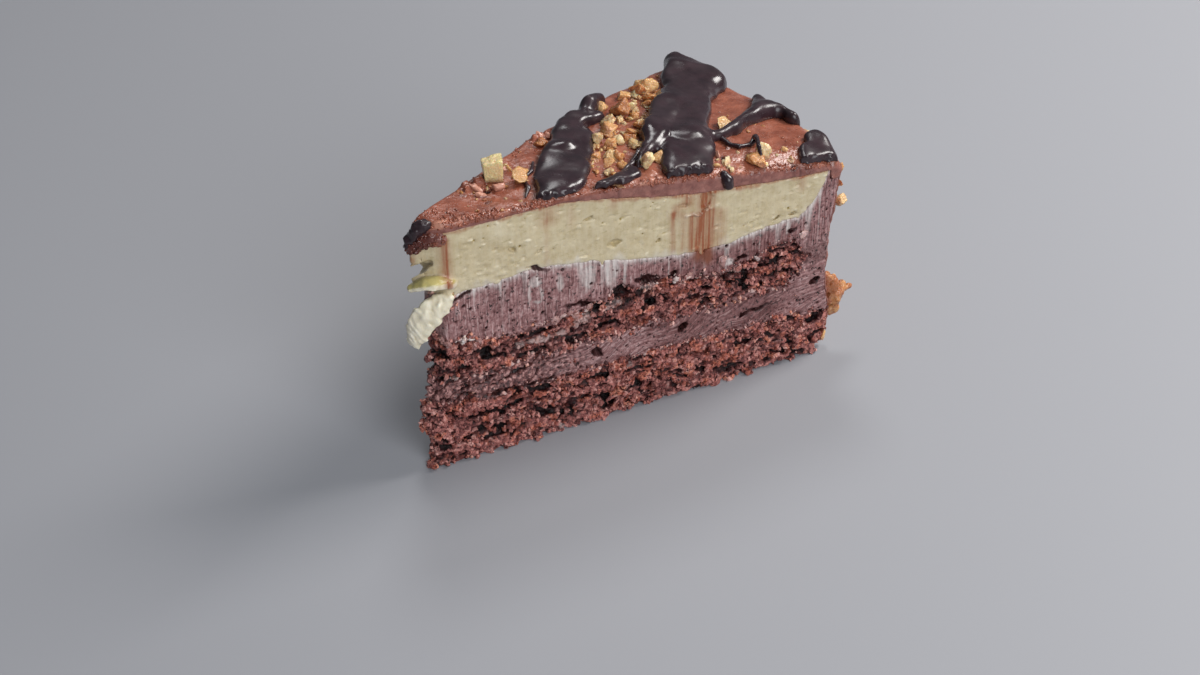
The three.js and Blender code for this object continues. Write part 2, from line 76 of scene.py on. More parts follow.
ICING_BOW = 2.6  # power of the radius with which the icing's top falls to the rim
CREAM_TOP = 71.3
CREAM_FLOOR = 53.6
DISC_TOP = 37.0
DISC_FLOOR = 26.6
BASE_TOP = 18.3

# The cake's axis stands here in the row frame, read off the base sponge's rim
BASE_RADIUS = CAKE_RADIUS - WALL_THICKNESS - 2 * GAP
AXIS_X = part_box("base_sponge")[1][0] - BASE_RADIUS / 1000

VOXEL = 0.36  # the fields' step along the cuts and upwards
FINE_DEPTH = 3.8  # how far in from the cuts the layers carry their relief
FAR = 99.0  # a distance greater than any in the slice


# Small mathematics

def ramp(value, start, end):
    """0 before start, 1 after end, smooth between."""
    t = np.clip((value - start) / (end - start), 0, 1)
    return t * t * (3 - 2 * t)


def soft_max(a, b, blend):
    """The greater of two distances, rounded where they meet."""
    h = np.clip(0.5 + 0.5 * (a - b) / blend, 0, 1)
    return b + (a - b) * h + blend * h * (1 - h)


def soft_min(a, b, blend):
    return -soft_max(-a, -b, blend)


def turned(a, b, degrees):
    """Two offsets, along axes turned by an angle."""
    turn = math.radians(degrees)
    return a * math.cos(turn) + b * math.sin(turn), b * math.cos(turn) - a * math.sin(turn)


LATTICE_SIZE = 64
LATTICE = np.random.default_rng(1).uniform(-1, 1, (LATTICE_SIZE,) * 3).astype(np.float32)
SCATTER = np.random.default_rng(2).uniform(0, 1, (LATTICE_SIZE,) * 3 + (4,)).astype(np.float32)


def noise(x, y, z, seed=0):
    """Smooth noise from -1 to 1 with about one wave to a unit."""
    cells, fades = [], []
    for value, shift in ((x, 7.31), (y, 3.17), (z, 5.73)):
        value = value + shift * seed
        cell = np.floor(value)
        part = (value - cell).astype(np.float32)
        cells.append(cell.astype(np.int32))
        fades.append(part * part * (3 - 2 * part))
    total = 0
    for corner in itertools.product((0, 1), repeat=3):
        index = tuple((cell + step) % LATTICE_SIZE for cell, step in zip(cells, corner))
        weight = 1
        for fade, step in zip(fades, corner):
            weight = weight * (fade if step else 1 - fade)
        total = total + weight * LATTICE[index]
    return total


def lumps(x, y, z, seed=0):
    """Points scattered one to a unit cell: the distance to the nearest, how much nearer it is than the next,
    and a random number of its own."""
    values = [value + shift * seed for value, shift in ((x, 4.37), (y, 8.53), (z, 6.11))]
    cells = [np.floor(value).astype(np.int32) for value in values]
    nearest = np.full(values[0].shape, 9.0, np.float32)
    second = nearest.copy()
    own = np.zeros_like(nearest)
    for steps in itertools.product((-1, 0, 1), repeat=3):
        index = tuple((cell + step) % LATTICE_SIZE for cell, step in zip(cells, steps))
        scatter = SCATTER[index]
        away = 0
        for axis in range(3):
            away = away + (cells[axis] + steps[axis] + scatter[..., axis] - values[axis]) ** 2
        away = away.astype(np.float32)
        closer = away < nearest
        second = np.where(closer, nearest, np.minimum(second, away))
        nearest = np.where(closer, away, nearest)
        own = np.where(closer, scatter[..., 3], own)
    nearest, second = np.sqrt(nearest), np.sqrt(second)
    return nearest, second - nearest, own


# The cuts and the broken tip

def along_cut(x, y):
    """Distance from the axis, measured along the nearer cut."""
    return x * COS + np.abs(y) * SIN


def behind_cut(x, y):
    """Distance in from the near cut."""
    return x * SIN + y * COS


def tip_radii(z):
    """How far the broken tip stands from the axis at the near cut and at the far cut."""
    near = TIP_NEAR_BASE + (TIP_NEAR_TOP - TIP_NEAR_BASE) * ramp(z, 8, 52)
    bite = 2.8 * (1 - ramp(z, 6, 12)) + TIP_BITE * ramp(z, 22, 32) * (1 - ramp(z, 54.5, 57))
    return near, TIP_FAR + bite


def outside_cuts(x, y, z):
    """Distance outside the two cuts and the break at the tip."""
    near = -x * SIN - y * COS
    far = -x * SIN + y * COS
    near_tip, far_tip = tip_radii(z)
    run_x = (far_tip - near_tip) * COS
    run_y = (far_tip + near_tip) * SIN
    length = np.hypot(run_x, run_y)
    tip = -((x - near_tip * COS) * run_y - (y + near_tip * SIN) * run_x) / length
    return soft_max(soft_max(near, far, 0.6), tip, 0.8)


# Hollows in the near cut: [distance from the axis, height, half length, half height, tilt in degrees, depth]
HOLLOWS = [
    [63, 38.8, 2.8, 2.6, 0, 4.5],
    [70.5, 41, 3.2, 1.3, -12, 4],
    [75.5, 39.6, 3.4, 0.8, 12, 3],
    [52, 38.8, 4.6, 0.5, -10, 2.4],
    [19.2, 29.2, 3.6, 1.2, -8, 3],
    [27, 26.4, 3.2, 1.0, -10, 2.6],
    [76.7, 33, 1.4, 1.1, 0, 2.4],
    [84.5, 30.8, 2.2, 1.2, 20, 2.6],
    [94, 34.7, 2.6, 0.8, 15, 2.4],
    [98.5, 39.2, 1.6, 0.5, 8, 2.0],
    [113.2, 43.6, 0.9, 0.6, -20, 2.0],
    [56.6, 21.9, 1.2, 2.0, 20, 3.2],
    [81.3, 22.1, 0.9, 1.5, -25, 3.2],
    [100, 20.1, 1.3, 0.7, 0, 3.0],
    [104, 20.9, 4.0, 0.35, 5, 1.6],
    [121.4, 24.7, 1.4, 1.3, 0, 4.0],
    [31, 18.3, 7, 0.6, -3, 2.4],
    [39.5, 18.0, 4, 0.5, 6, 2.2],
    [50.2, 15.6, 3.2, 0.6, -25, 2.2],
    [44.3, 6.9, 4.2, 1.2, -25, 3.2],
    [34, 13.9, 3.2, 0.9, -4, 2.6],
    [59.6, 7.6, 3.0, 0.8, 5, 2.4],
    [58, 2.6, 1.9, 1.5, 0, 2.6],
    [15, 15.1, 2.2, 1.8, 0, 2.6],
    [25.6, 13.7, 4.0, 0.6, -5, 2.0],
    [87.6, 11.4, 3.2, 1.0, 0, 2.6],
    [77.6, 4.6, 2.0, 1.1, 10, 2.4],
    [108.6, 10, 2.4, 1.5, -20, 2.6],
    [72, 6.2, 2.4, 0.8, 30, 2.4],
    [115, 6.4, 1.4, 2.0, 20, 2.4],
    [39.4, 53.7, 2.6, 0.7, -15, 2.2],
    [18.2, 51.9, 3.0, 0.6, 4, 1.8],
    [32.9, 61.2, 1.2, 0.9, -20, 1.4],
    [28.3, 63, 0.8, 0.6, 0, 1.0],
    [53.9, 64, 1.9, 0.5, -5, 1.4],
    [61.2, 55.0, 2.0, 1.0, 0, 1.8],
    [40.6, 58.8, 1.6, 0.4, 40, 1.0],
    [108.2, 48.9, 1.3, 0.5, 10, 2.0],
    [113.3, 48.7, 1.5, 0.5, -5, 2.0],
    [99.5, 49.8, 1.6, 0.3, 0, 1.2],
    [73, 52.4, 0.7, 0.5, 0, 1.2],
    [87, 61.2, 1.9, 2.5, 0, 0.9],
    [80.6, 60.6, 1.8, 0.5, -10, 0.8],
]


def hollows(x, y, z):
    """Distance inside the hollows of the near cut, above zero where the food is gone."""
    along = along_cut(x, y)
    deep = behind_cut(x, y)
    fine = along / 0.8, z / 0.8, deep / 2
    warp_a = along + 0.9 * noise(along / 1.7, z / 1.7, deep / 3, 31) + 0.45 * noise(*fine, 98)
    warp_z = z + 0.8 * noise(along / 1.7, z / 1.7, deep / 3, 32) + 0.35 * noise(*fine, 99)
    gone = np.full(x.shape, -9.0)
    for place, height, half_length, half_height, tilt, depth in HOLLOWS:
        close = (np.abs(along - place) < half_length + 3) & (np.abs(z - height) < half_length + 3)
        a, b = turned(warp_a[close] - place, warp_z[close] - height, tilt)
        ratio = np.sqrt((a / half_length) ** 2 + (b / half_height) ** 2 + (deep[close] / depth) ** 2)
        gone[close] = np.maximum(gone[close], (1 - ratio) * min(half_height, 1.2))
    return gone


# Where the layers meet, as heights over the plan

def slump(r):
    """How far the top has sunk at the tip."""
    return 2.6 * (1 - ramp(r, 8, 14))


def base_top(x, y):
    r = np.hypot(x, y)
    level = BASE_TOP - 4.6 * (r / CAKE_RADIUS) ** 2
    return level + 0.7 * noise(x / 9, y / 9, 0, 11) + 0.6 * noise(x / 3, y / 3, 0, 12)


def disc_floor(x, y):
    r = np.hypot(x, y)
    rough = 0.9 * noise(x / 10, y / 10, 0, 13) + 0.6 * noise(x / 3, y / 3, 0, 14)
    return DISC_FLOOR + 1.2 * (1 - ramp(r, 12, 30)) + rough


def disc_top(x, y):
    r = np.hypot(x, y)
    swell = 2.6 * np.cos(2 * np.pi * (r - 68) / 60)
    rise = DISC_RIM_RISE * ramp(r, 84, 102)
    level = DISC_TOP + swell * (1 - ramp(r, 96, 106)) + rise
    return level + 0.8 * noise(x / 7, y / 7, 0, 15) + 0.8 * noise(x / 3, y / 3, 0, 16)


def pressed(x, y):
    """How far the knife has pressed the top down along the near cut, towards the rim."""
    return 1.7 * ramp(np.hypot(x, y), 55, 105) * (1 - ramp(behind_cut(x, y), 0, 8))


def side_seed(y):
    """A shift along the noise, so that the far cut isn't the near one's mirror image."""
    return np.where(y > 0, 40.0, 0.0)


def drips(x, y):
    """Narrow runs of cream drawn down over the mousse by the knife."""
    along = along_cut(x, y) + side_seed(y)
    return 1.8 * ramp(noise(along / 0.9, 0, 0, 19), 0.3, 0.85) * ramp(noise(along / 6, 0, 0, 20), -0.5, 0.4)


def cream_floor(x, y):
    r = np.hypot(x, y)
    fall = 1.6 * (1 - ramp(r, 12, 28)) + 8.4 * ramp(r, 36, 90) - 2.2 * ramp(r, 90, 112)
    rise = 14.3 * (np.maximum(0, r - 112) / 12) ** 3
    waves = 0.5 * noise(x / 7, y / 7, 0, 17) + 0.3 * noise(x / 2, y / 2, 0, 18)
    return CREAM_FLOOR - fall + rise + waves - drips(x, y)


def cream_top(x, y):
    r = np.hypot(x, y)
    return CREAM_TOP - slump(r) - 7.6 * ramp(r, 40, 90) - 3.4 * ramp(r, 80, 126) - 0.5 * pressed(x, y)


def wall_radius(z):
    """Radius of the icing's outside: it draws in at the foot and has a shallow waist."""
    waist = 1.8 * ramp(z, 12, 26) * (1 - ramp(z, 34, 60))
    return CAKE_RADIUS - waist - FOOT_UNDERCUT * (np.maximum(0, FOOT_HEIGHT - z) / FOOT_HEIGHT) ** 2


def icing_dome(x, y):
    """Height of the icing's top without its shoulder."""
    r = np.minimum(np.hypot(x, y), CAKE_RADIUS)
    waves = 0.35 * noise(x / 12, y / 12, 0, 21) + 0.25 * noise(x / 5, y / 5, 0, 22)
    return ICING_TOP - slump(r) - ICING_RIM_DROP * (r / CAKE_RADIUS) ** ICING_BOW - pressed(x, y) + waves


def icing_top(x, y):
    """Top of the icing, with its hand-spread waves and its rounded shoulder."""
    r = np.hypot(x, y)
    past = np.clip(r - (CAKE_RADIUS - SHOULDER), 0, SHOULDER)
    return icing_dome(x, y) - SHOULDER + np.sqrt(SHOULDER**2 - past**2)


# Relief of the cut faces: how far back the surface stands, in millimetres

def crumb_relief(x, y, z):
    """Torn sponge: crumbs in ragged clumps, with pores, and long dark clefts between the layers of crumb."""
    level = z + 1.6 * noise(x / 8, y / 8, z / 5, 41)
    clump = noise(x / 3.0, y / 3.0, level / 1.8, 42)
    cleft = noise(x / 3.8, y / 3.8, level / 1.1, 44)
    pore = noise(x / 1.5, y / 1.5, level / 1.0, 40)
    crumb, _, _ = lumps(x / 1.15, y / 1.15, z / 1.0, 43)
    grain = noise(x / 0.72, y / 0.72, z / 0.72, 45)
    gaps = 1.8 * ramp(cleft, 0.2, 0.46) + 1.2 * ramp(pore, 0.28, 0.56)
    return 0.65 * clump + gaps + 1.0 * (crumb - 0.5) + 0.4 * grain


def torn_mousse(x, y, z):
    """Where the lower mousse is torn and full of crumbs, towards the tip, from 0 to 1."""
    along = along_cut(x, y) + 4 * noise(x / 9, y / 9, z / 5, 60)
    return (1 - ramp(along, 34, 58)) * (1 - ramp(z, 30, 35))


def torn_away(x, y, z):
    """How far back the torn mousse stands, most of all at the tip."""
    return torn_mousse(x, y, z) * (0.3 + 1.0 * (1 - ramp(along_cut(x, y), 12, 26)))


def ragged(x, y, z):
    """Crumbs and mousse mixed along the borders of the sponge, in millimetres up and down."""
    return 1.1 * noise(x / 2.2, y / 2.2, z / 1.8, 47) + 0.7 * noise(x / 1.0, y / 1.0, z / 0.9, 48)


def pits(along, z, seed, spacing, size, share):
    """Small round holes scattered over a cut face: 1 in a hole, 0 outside."""
    near, _, own = lumps(along / spacing, z / spacing, np.full(along.shape, seed * 0.37), seed)
    reach = size / spacing * (0.5 + own)
    return np.where(own < share, 1 - ramp(near, 0.5 * reach, reach), 0)


def knife_lines(x, y, z):
    """Place across and along the knife's strokes on cut mousse: upright above the disc, rising below it."""
    along = along_cut(x, y) + side_seed(y)
    upper = ramp(z, 31, 37)
    sway = 3.4 * noise(along / 12, z / 7, 0, 53) + 0.5 * noise(along / 3, z / 3, 0, 110)
    low_across = z - 0.34 * along + sway
    low_run = along + 0.34 * z
    across = low_across + (along + 0.25 * noise(along / 4, z / 9, 0, 50) - low_across) * upper
    return across, low_run + (z - low_run) * upper


def mousse_relief(x, y, z):
    """Mousse: upright knife strokes above the sponge disc, slanting ones below it, small holes and tears."""
    along = along_cut(x, y) + side_seed(y)
    upper = ramp(z, 32, 38)
    strokes = noise(along / 1.1, z / 16, 0, 51) + 0.7 * noise(along / 0.75, z / 11, 0, 52)
    slant, run = knife_lines(x, y, z)
    waves = noise(slant / 0.9, run / 9, 0, 54) + 0.7 * noise(slant / 0.7, run / 5, 0, 55)
    dents = noise(along / 6, z / 5, 0, 56)
    holes = pits(along, z, 57, 2.4, 0.75, 0.45) + 0.9 * pits(along, z, 107, 1.6, 0.5, 0.4)
    smooth = 0.2 * upper * strokes + 0.24 * (1 - upper) * waves + 0.2 * dents + (1.2 - 0.2 * upper) * holes
    cleft = noise(run / 3.4, slant / 0.85, 0, 58)
    rough = 1.4 * ramp(cleft, 0.2, 0.48) + 0.5 * noise(along / 1.3, z / 1.1, 0, 59)
    grain = 0.35 * noise(x / 0.8, y / 0.8, z / 0.8, 60)
    return smooth + torn_mousse(x, y, z) * (rough + grain)


def cream_relief(x, y, z):
    """Cream: a nearly smooth cut with short tears, air holes and faint knife strokes."""
    along = along_cut(x, y) + side_seed(y)
    tears = noise(along / 1.7, z / 0.75, 0, 61) - 0.7 * noise(along / 7, z / 4, 0, 62)
    swell = noise(along / 9, z / 6, 0, 63)
    strokes = noise(along / 0.8, z / 20, 0, 64)
    holes = pits(along, z, 65, 2.8, 0.7, 0.34)
    small = pits(along, z, 70, 1.4, 0.45, 0.22)
    torn_edge = 57.6 + 0.9 * noise(along / 2.2, 0, 0, 108)
    lip = 1.2 * np.exp(-(((z - torn_edge) / 0.5) ** 2)) * ramp(along, 79, 81) * (1 - ramp(along, 87, 89.5))
    lip = lip * (0.6 + 0.6 * noise(along / 0.9, z / 0.9, 0, 109)) - 0.6 * lip * (z > torn_edge + 0.4)
    rims = 0.25 * ramp(noise(along / 1.7, (z + 0.5) / 0.75, 0, 61), 0.45, 0.8)
    cut = 0.35 * ramp(tears, 0.4, 0.85) - rims + 0.22 * swell + 0.05 * strokes + 0.8 * holes + 0.4 * small
    return cut + 0.04 * noise(along / 1.1, z / 1.1, 0, 69) - lip * (y < 0)


# Fields of the layers, each below zero inside the food

def sponge_rim(x, y, z):
    return np.hypot(x, y) - (wall_radius(z) - WALL_SHOWN)


def base_coarse(x, y, z):
    shell = np.maximum(outside_cuts(x, y, z), sponge_rim(x, y, z))
    return np.maximum(np.maximum(shell, z - base_top(x, y)), -z)


def base_field(x, y, z):
    relief = crumb_relief(x, y, z)
    foot = 1.5 * (1 - ramp(z, 0, 2.6)) * ramp(noise(x / 2.2, y / 2.2, z / 4, 46), -0.3, 0.5)
    rim = sponge_rim(x, y, z) - 0.1 + 0.8 * np.maximum(relief, 0) * (1 - ramp(z, 3.5, 6))
    shell = np.maximum(outside_cuts(x, y, z) + relief - foot, rim)
    shell = np.maximum(shell, hollows(x, y, z))
    return np.maximum(np.maximum(shell, z - base_top(x, y) - ragged(x, y, z)), -z)


def disc_shape(x, y, z, grow=0.0):
    """The sponge disc with its rounded end, before it is cut."""
    r0 = DISC_RADIUS - DISC_END_ROUNDING
    low, high = disc_floor(x, y), disc_top(x, y)
    past = np.maximum(0, np.hypot(x, y) - r0) / DISC_END_ROUNDING
    half = (high - low) / 2 * np.sqrt(np.maximum(0, 1 - np.minimum(past, 1) ** 2))
    end = np.maximum(np.abs(z - (high + low) / 2) - half, (past - 1) * DISC_END_ROUNDING)
    return end - grow


def disc_coarse(x, y, z):
    return np.maximum(outside_cuts(x, y, z), disc_shape(x, y, z))


def disc_field(x, y, z):
    cut = np.maximum(outside_cuts(x, y, z) + crumb_relief(x, y, z + 31) + 0.1, hollows(x, y, z))
    return np.maximum(cut, disc_shape(x, y, z, 1.2 * ragged(x, y, z)))


def mousse_bounds(x, y, z, mixed=0.0):
    """Everything between the base and the cream, out to the icing, less the sponge disc."""
    r = np.hypot(x, y)
    rim = sponge_rim(x, y, z)
    crest = np.where(r > CREAM_END, cream_top(x, y) - 3, cream_floor(x, y) + 0.12)
    between = np.maximum(base_top(x, y) + 0.05 + mixed - z, z - crest)
    return np.maximum(np.maximum(rim, between), -disc_shape(x, y, z, 1.2 * mixed - 0.05))


def mousse_coarse(x, y, z):
    return np.maximum(outside_cuts(x, y, z), mousse_bounds(x, y, z))


def mousse_field(x, y, z):
    back = mousse_relief(x, y, z) + torn_away(x, y, z)
    cut = np.maximum(outside_cuts(x, y, z) + back, hollows(x, y, z))
    return np.maximum(cut, mousse_bounds(x, y, z, ragged(x, y, z)))


# Two bands of cream that hang at the tip: points of their path, widths along it, thickness, direction across
CREAM_FLAP = dict(
    path=[[16.5, -3.4, 56.4], [13.4, -3.0, 57.6], [10.4, -1.6, 57.8], [7.6, 0.5, 56.4]],
    widths=[6, 7.6, 6.6, 3.4],
    thickness=3.8,
    across=[-0.72, -0.69, 0.2],
)
CREAM_CURL = dict(
    path=[
        [15.4, -3.4, 52.0],
        [13.4, -3.0, 50.8],
        [10.6, -2.2, 48.6],
        [8.4, -1, 45.6],
        [7.2, 0.1, 42.6],
        [7.4, 0.6, 40],
    ],
    widths=[3.5, 5.6, 7.2, 7.4, 6.2, 3.6],
    thickness=3.6,
    across=[0.45, -0.5, -0.75],
)

# Cream torn away at the tip, above the flap and below it: [x, y, z, half x, half y, half height]
TIP_TEARS = [
    [8.8, 2.0, 59.6, 5.0, 5.8, 1.8],
    [9.6, 1.8, 52.8, 5.0, 5.4, 2.2],
]
TEAR_FALL = 0.8  # how steeply the tears run down away from the camera


def strip(x, y, z, path, widths, thickness, across):
    """Distance to a band of cream bent along a path of points, thin at its edges."""
    points = np.array(path, float)
    sideways = np.array(across, float) / np.linalg.norm(across)
    best = np.full(x.shape, FAR)
    place = np.zeros(x.shape)
    side = np.zeros(x.shape)
    for n in range(len(points) - 1):
        start, run = points[n], points[n + 1] - points[n]
        run_side = run @ sideways
        flat = run - run_side * sideways
        rel = [x - start[0], y - start[1], z - start[2]]
        rel_side = sum(c * s for c, s in zip(rel, sideways))
        t = np.clip(sum((c - rel_side * s) * f for c, s, f in zip(rel, sideways, flat)) / (flat @ flat), 0, 1)
        off = [c - rel_side * s - t * f for c, s, f in zip(rel, sideways, flat)]
        away = np.sqrt(sum(o * o for o in off))
        closer = away < best
        best = np.where(closer, away, best)
        place = np.where(closer, (n + t) / (len(points) - 1), place)
        side = np.where(closer, rel_side - t * run_side, side)
    half_width = np.interp(place, np.linspace(0, 1, len(widths)), widths) / 2
    edge = np.clip(np.abs(side) / half_width, 0, 1)
    half_thick = thickness / 2 * (1 - 0.6 * edge**2) * (1 - 0.4 * place)
    return np.maximum(best - half_thick, np.abs(side) - half_width), place


def curl_ridges(x, y, z, place):
    """Folds across the curl of cream, in millimetres back from its surface."""
    bend = 6 * noise(x / 3.6, y / 3.6, z / 3.6, 66)
    uneven = 0.5 + 0.5 * noise(x / 2.2, y / 2.2, z / 2.2, 112)
    torn = 0.3 * noise(x / 1.3, y / 1.3, z / 1.3, 113)
    return 0.08 * np.sin(24 * place + bend) + 0.24 * uneven * np.sin(62 * place + 1.5 * bend) + torn


def tip_tears(x, y, z):
    """Distance inside the tears, above zero where the cream is gone."""
    gone = np.full(x.shape, -9.0)
    rough = 0.3 * noise(x / 1.4, y / 1.4, z / 1.4, 68)
    for cx, cy, cz, half_x, half_y, half_z in TIP_TEARS:
        fall = z - cz + TEAR_FALL * (y - cy)
        ratio = np.sqrt(((x - cx) / half_x) ** 2 + ((y - cy) / half_y) ** 2 + (fall / half_z) ** 2)
        gone = np.maximum(gone, (1 - ratio) * half_z + rough * (ratio < 1.6))
    return gone


def cream_body(x, y, z):
    r = np.hypot(x, y)
    between = np.maximum(cream_floor(x, y) - z, z - cream_top(x, y) - 0.1)
    return np.maximum(between, r - CREAM_END - 0.2)


def with_strips(x, y, z, body):
    """Tears the cream at the tip and joins the flap and the curl to it."""
    close = x < 24
    tip = x[close], y[close], z[close]
    flap, _ = strip(*tip, **CREAM_FLAP)
    curl, place = strip(*tip, **CREAM_CURL)
    torn = 0.28 * noise(*(axis / 2.4 for axis in tip), 67) + 0.1 * noise(*(axis / 0.9 for axis in tip), 68)
    body = body.copy()
    left = np.maximum(body[close], tip_tears(*tip))
    curl = curl + curl_ridges(*tip, place)
    body[close] = soft_min(left, soft_min(flap, curl, 0.2) + torn, 0.4)
    return body


def cream_coarse(x, y, z):
    return with_strips(x, y, z, np.maximum(outside_cuts(x, y, z), cream_body(x, y, z)))


def cream_field(x, y, z):
    cut = np.maximum(outside_cuts(x, y, z) + cream_relief(x, y, z), hollows(x, y, z))
    return with_strips(x, y, z, np.maximum(cut, cream_body(x, y, z)))


# Sampling a field and meshing it

CUT_BAND = 6.1  # width of the finely sampled band along either cut
CUT_REACH = 4.5  # how far in from the cut the band goes


def slice_grid(low, high, middle, first_x=3.0, last_x=129.0, step=VOXEL):
    """Sample points over the slice from height low to high, fine within a few millimetres of either cut."""
    xs = np.arange(first_x, last_x + step, step)
    zs = np.arange(low, high + step, step)
    fine = round(CUT_BAND / step)
    half = xs * TAN
    reach = np.minimum(CUT_REACH, 0.75 * half)
    near = -half[:, None] - (CUT_BAND - reach)[:, None] + CUT_BAND * np.linspace(0, 1, fine + 1)[None, :]
    gap = (half - reach)[:, None] * np.linspace(-1, 1, middle + 1)[None, 1:-1]
    ys = np.concatenate([near, gap, -near[:, ::-1]], axis=1)
    shape = (len(xs), ys.shape[1], len(zs))
    x = np.broadcast_to(xs[:, None, None], shape)
    y = np.broadcast_to(ys[:, :, None], shape)
    z = np.broadcast_to(zs[None, None, :], shape)
    return [axis.astype(np.float32) for axis in (x, y, z)]


def box_grid(low, high, step):
    """Sample points in a plain box."""
    axes = [np.arange(a, b + step, step) for a, b in zip(low, high)]
    return np.meshgrid(*axes, indexing="ij")


def sample(grid, coarse, fine=None):
    """The fine field near the cuts, and the coarse one elsewhere. The grid's faces count as outside."""
    x, y, z = grid
    value = coarse(x, y, z)
    if fine:
        depth = outside_cuts(x, y, z)
        close = (depth > -FINE_DEPTH) & (depth < 3) & (value < 3)
        value[close] = fine(x[close], y[close], z[close])
    for axis in range(3):
        rows = [slice(None)] * 3
        for end in (0, -1):
            rows[axis] = end
            value[tuple(rows)] = np.maximum(value[tuple(rows)], 0.01)
    return value


def surface_net(grid, value):
    """Corners and quads of the surface where the value crosses zero."""
    inside = value < 0
    size = np.array(value.shape)
    low_high = (slice(0, -1), slice(1, None))
    count = sum(inside[low_high[a], low_high[b], low_high[c]].astype(np.int8)
                for a, b, c in itertools.product((0, 1), repeat=3))
    active = (count > 0) & (count < 8)
    cells = np.argwhere(active)
    number = np.full(active.shape, -1, np.int64)
    number[active] = np.arange(len(cells))
    flat_value = value.reshape(-1)
    flat_place = [axis.reshape(-1) for axis in grid]
    strides = np.array([size[1] * size[2], size[2], 1])
    home = cells @ strides
    total = np.zeros((len(cells), 3))
    hits = np.zeros(len(cells))
    for axis in range(3):
        others = [n for n in range(3) if n != axis]
        for steps in itertools.product((0, 1), repeat=2):
            start = home + steps[0] * strides[others[0]] + steps[1] * strides[others[1]]
            end = start + strides[axis]
            v0, v1 = flat_value[start], flat_value[end]
            cross = (v0 < 0) != (v1 < 0)
            t = np.where(cross, v0 / np.where(cross, v0 - v1, 1), 0)
            for n in range(3):
                p0 = flat_place[n][start]
                total[:, n] += cross * (p0 + t * (flat_place[n][end] - p0))
            hits += cross
    corners = total / hits[:, None]
    quads = []
    for axis in range(3):
        a, b = (axis + 1) % 3, (axis + 2) % 3
        rows = [slice(None)] * 3
        rows[a], rows[b] = slice(1, -1), slice(1, -1)
        first, second = list(rows), list(rows)
        first[axis], second[axis] = slice(0, -1), slice(1, None)
        starts = inside[tuple(first)]
        edges = np.argwhere(starts != inside[tuple(second)])
        out = starts[tuple(edges.T)]
        edges[:, a] += 1
        edges[:, b] += 1
        ring = []
        for back_a, back_b in ((1, 1), (0, 1), (0, 0), (1, 0)):
            cell = edges.copy()
            cell[:, a] -= back_a
            cell[:, b] -= back_b
            ring.append(number[tuple(cell.T)])
        ring = np.stack(ring, axis=1)
        quads.append(np.where(out[:, None], ring, ring[:, ::-1]))
    return corners, np.concatenate(quads)


def largest_body(corners, quads):
    """Drops the crumbs that hang loose in the air."""
    label = np.arange(len(corners))
    while True:
        lowest = label[quads].min(axis=1)
        new = label.copy()
        np.minimum.at(new, quads.reshape(-1), np.repeat(lowest, 4))
        new = new[new]
        if np.array_equal(new, label):
            break
        label = new
    main = np.bincount(label).argmax()
    keep = label == main
    renumber = np.cumsum(keep) - 1
    return corners[keep], renumber[quads[keep[quads[:, 0]]]]


def relaxed(corners, quads, rounds):
    """Evens out the steps that the sampling leaves on a glossy surface."""
    start = quads.reshape(-1)
    end = np.roll(quads, -1, axis=1).reshape(-1)
    count = np.bincount(start, minlength=len(corners))
    for _ in range(rounds):
        around = [np.bincount(start, corners[end, axis], len(corners)) / count for axis in range(3)]
        corners = 0.5 * corners + 0.5 * np.stack(around, axis=1)
    return corners


def gather(parts):
    """Joins [corners, faces, ...values] of many small things."""
    corners, faces, values, count = [], [], [], 0
    for part in parts:
        corners.append(part[0])
        faces.append(part[1] + count)
        values.append(part[2:])
        count += len(part[0])
    columns = [np.concatenate(column) for column in zip(*values)]
    return np.concatenate(corners), np.concatenate(faces), columns


def to_frame(corners):
    """Millimetres about the cake's axis to metres in the row frame."""
    return np.asarray(corners, float) / 1000 + np.array([AXIS_X, 0, 0])


def to_cake(corners):
    return (np.asarray(corners, float) - np.array([AXIS_X, 0, 0])) * 1000


def new_object(name, corners, faces):
    """A smooth mesh object from corners in cake millimetres and faces of one size."""
    mesh = bpy.data.meshes.new(name)
    faces = np.asarray(faces)
    mesh.vertices.add(len(corners))
    mesh.vertices.foreach_set("co", to_frame(corners).reshape(-1))
    mesh.loops.add(faces.size)
    mesh.loops.foreach_set("vertex_index", faces.reshape(-1).astype(np.int32))
    mesh.polygons.add(len(faces))
    mesh.polygons.foreach_set("loop_start", np.arange(0, faces.size, faces.shape[1], dtype=np.int32))
    mesh.update(calc_edges=True)
    mesh.validate()
    mesh.shade_smooth()
    piece = bpy.data.objects.new(name, mesh)
    bpy.context.collection.objects.link(piece)
    return piece


def mesh_corners(piece):
    places = np.empty(len(piece.data.vertices) * 3)
    piece.data.vertices.foreach_get("co", places)
    return to_cake(places.reshape(-1, 3))


def mesh_normals(piece):
    normals = np.empty(len(piece.data.vertices) * 3, np.float32)
    piece.data.vertex_normals.foreach_get("vector", normals)
    return normals.reshape(-1, 3)


def store(piece, **fields):
    """Stores a value for each corner, for the materials to read."""
    for name, values in fields.items():
        layer = piece.data.attributes.new(name, "FLOAT", "POINT")
        layer.data.foreach_set("value", np.asarray(values, np.float32))


def paint(piece, **masks):
    """Stores masks, which go from 0 to 1."""
    store(piece, **{name: np.clip(values, 0, 1) for name, values in masks.items()})


def read_paint(piece, name):
    values = np.empty(len(piece.data.vertices), np.float32)
    piece.data.attributes[name].data.foreach_get("value", values)
    return values


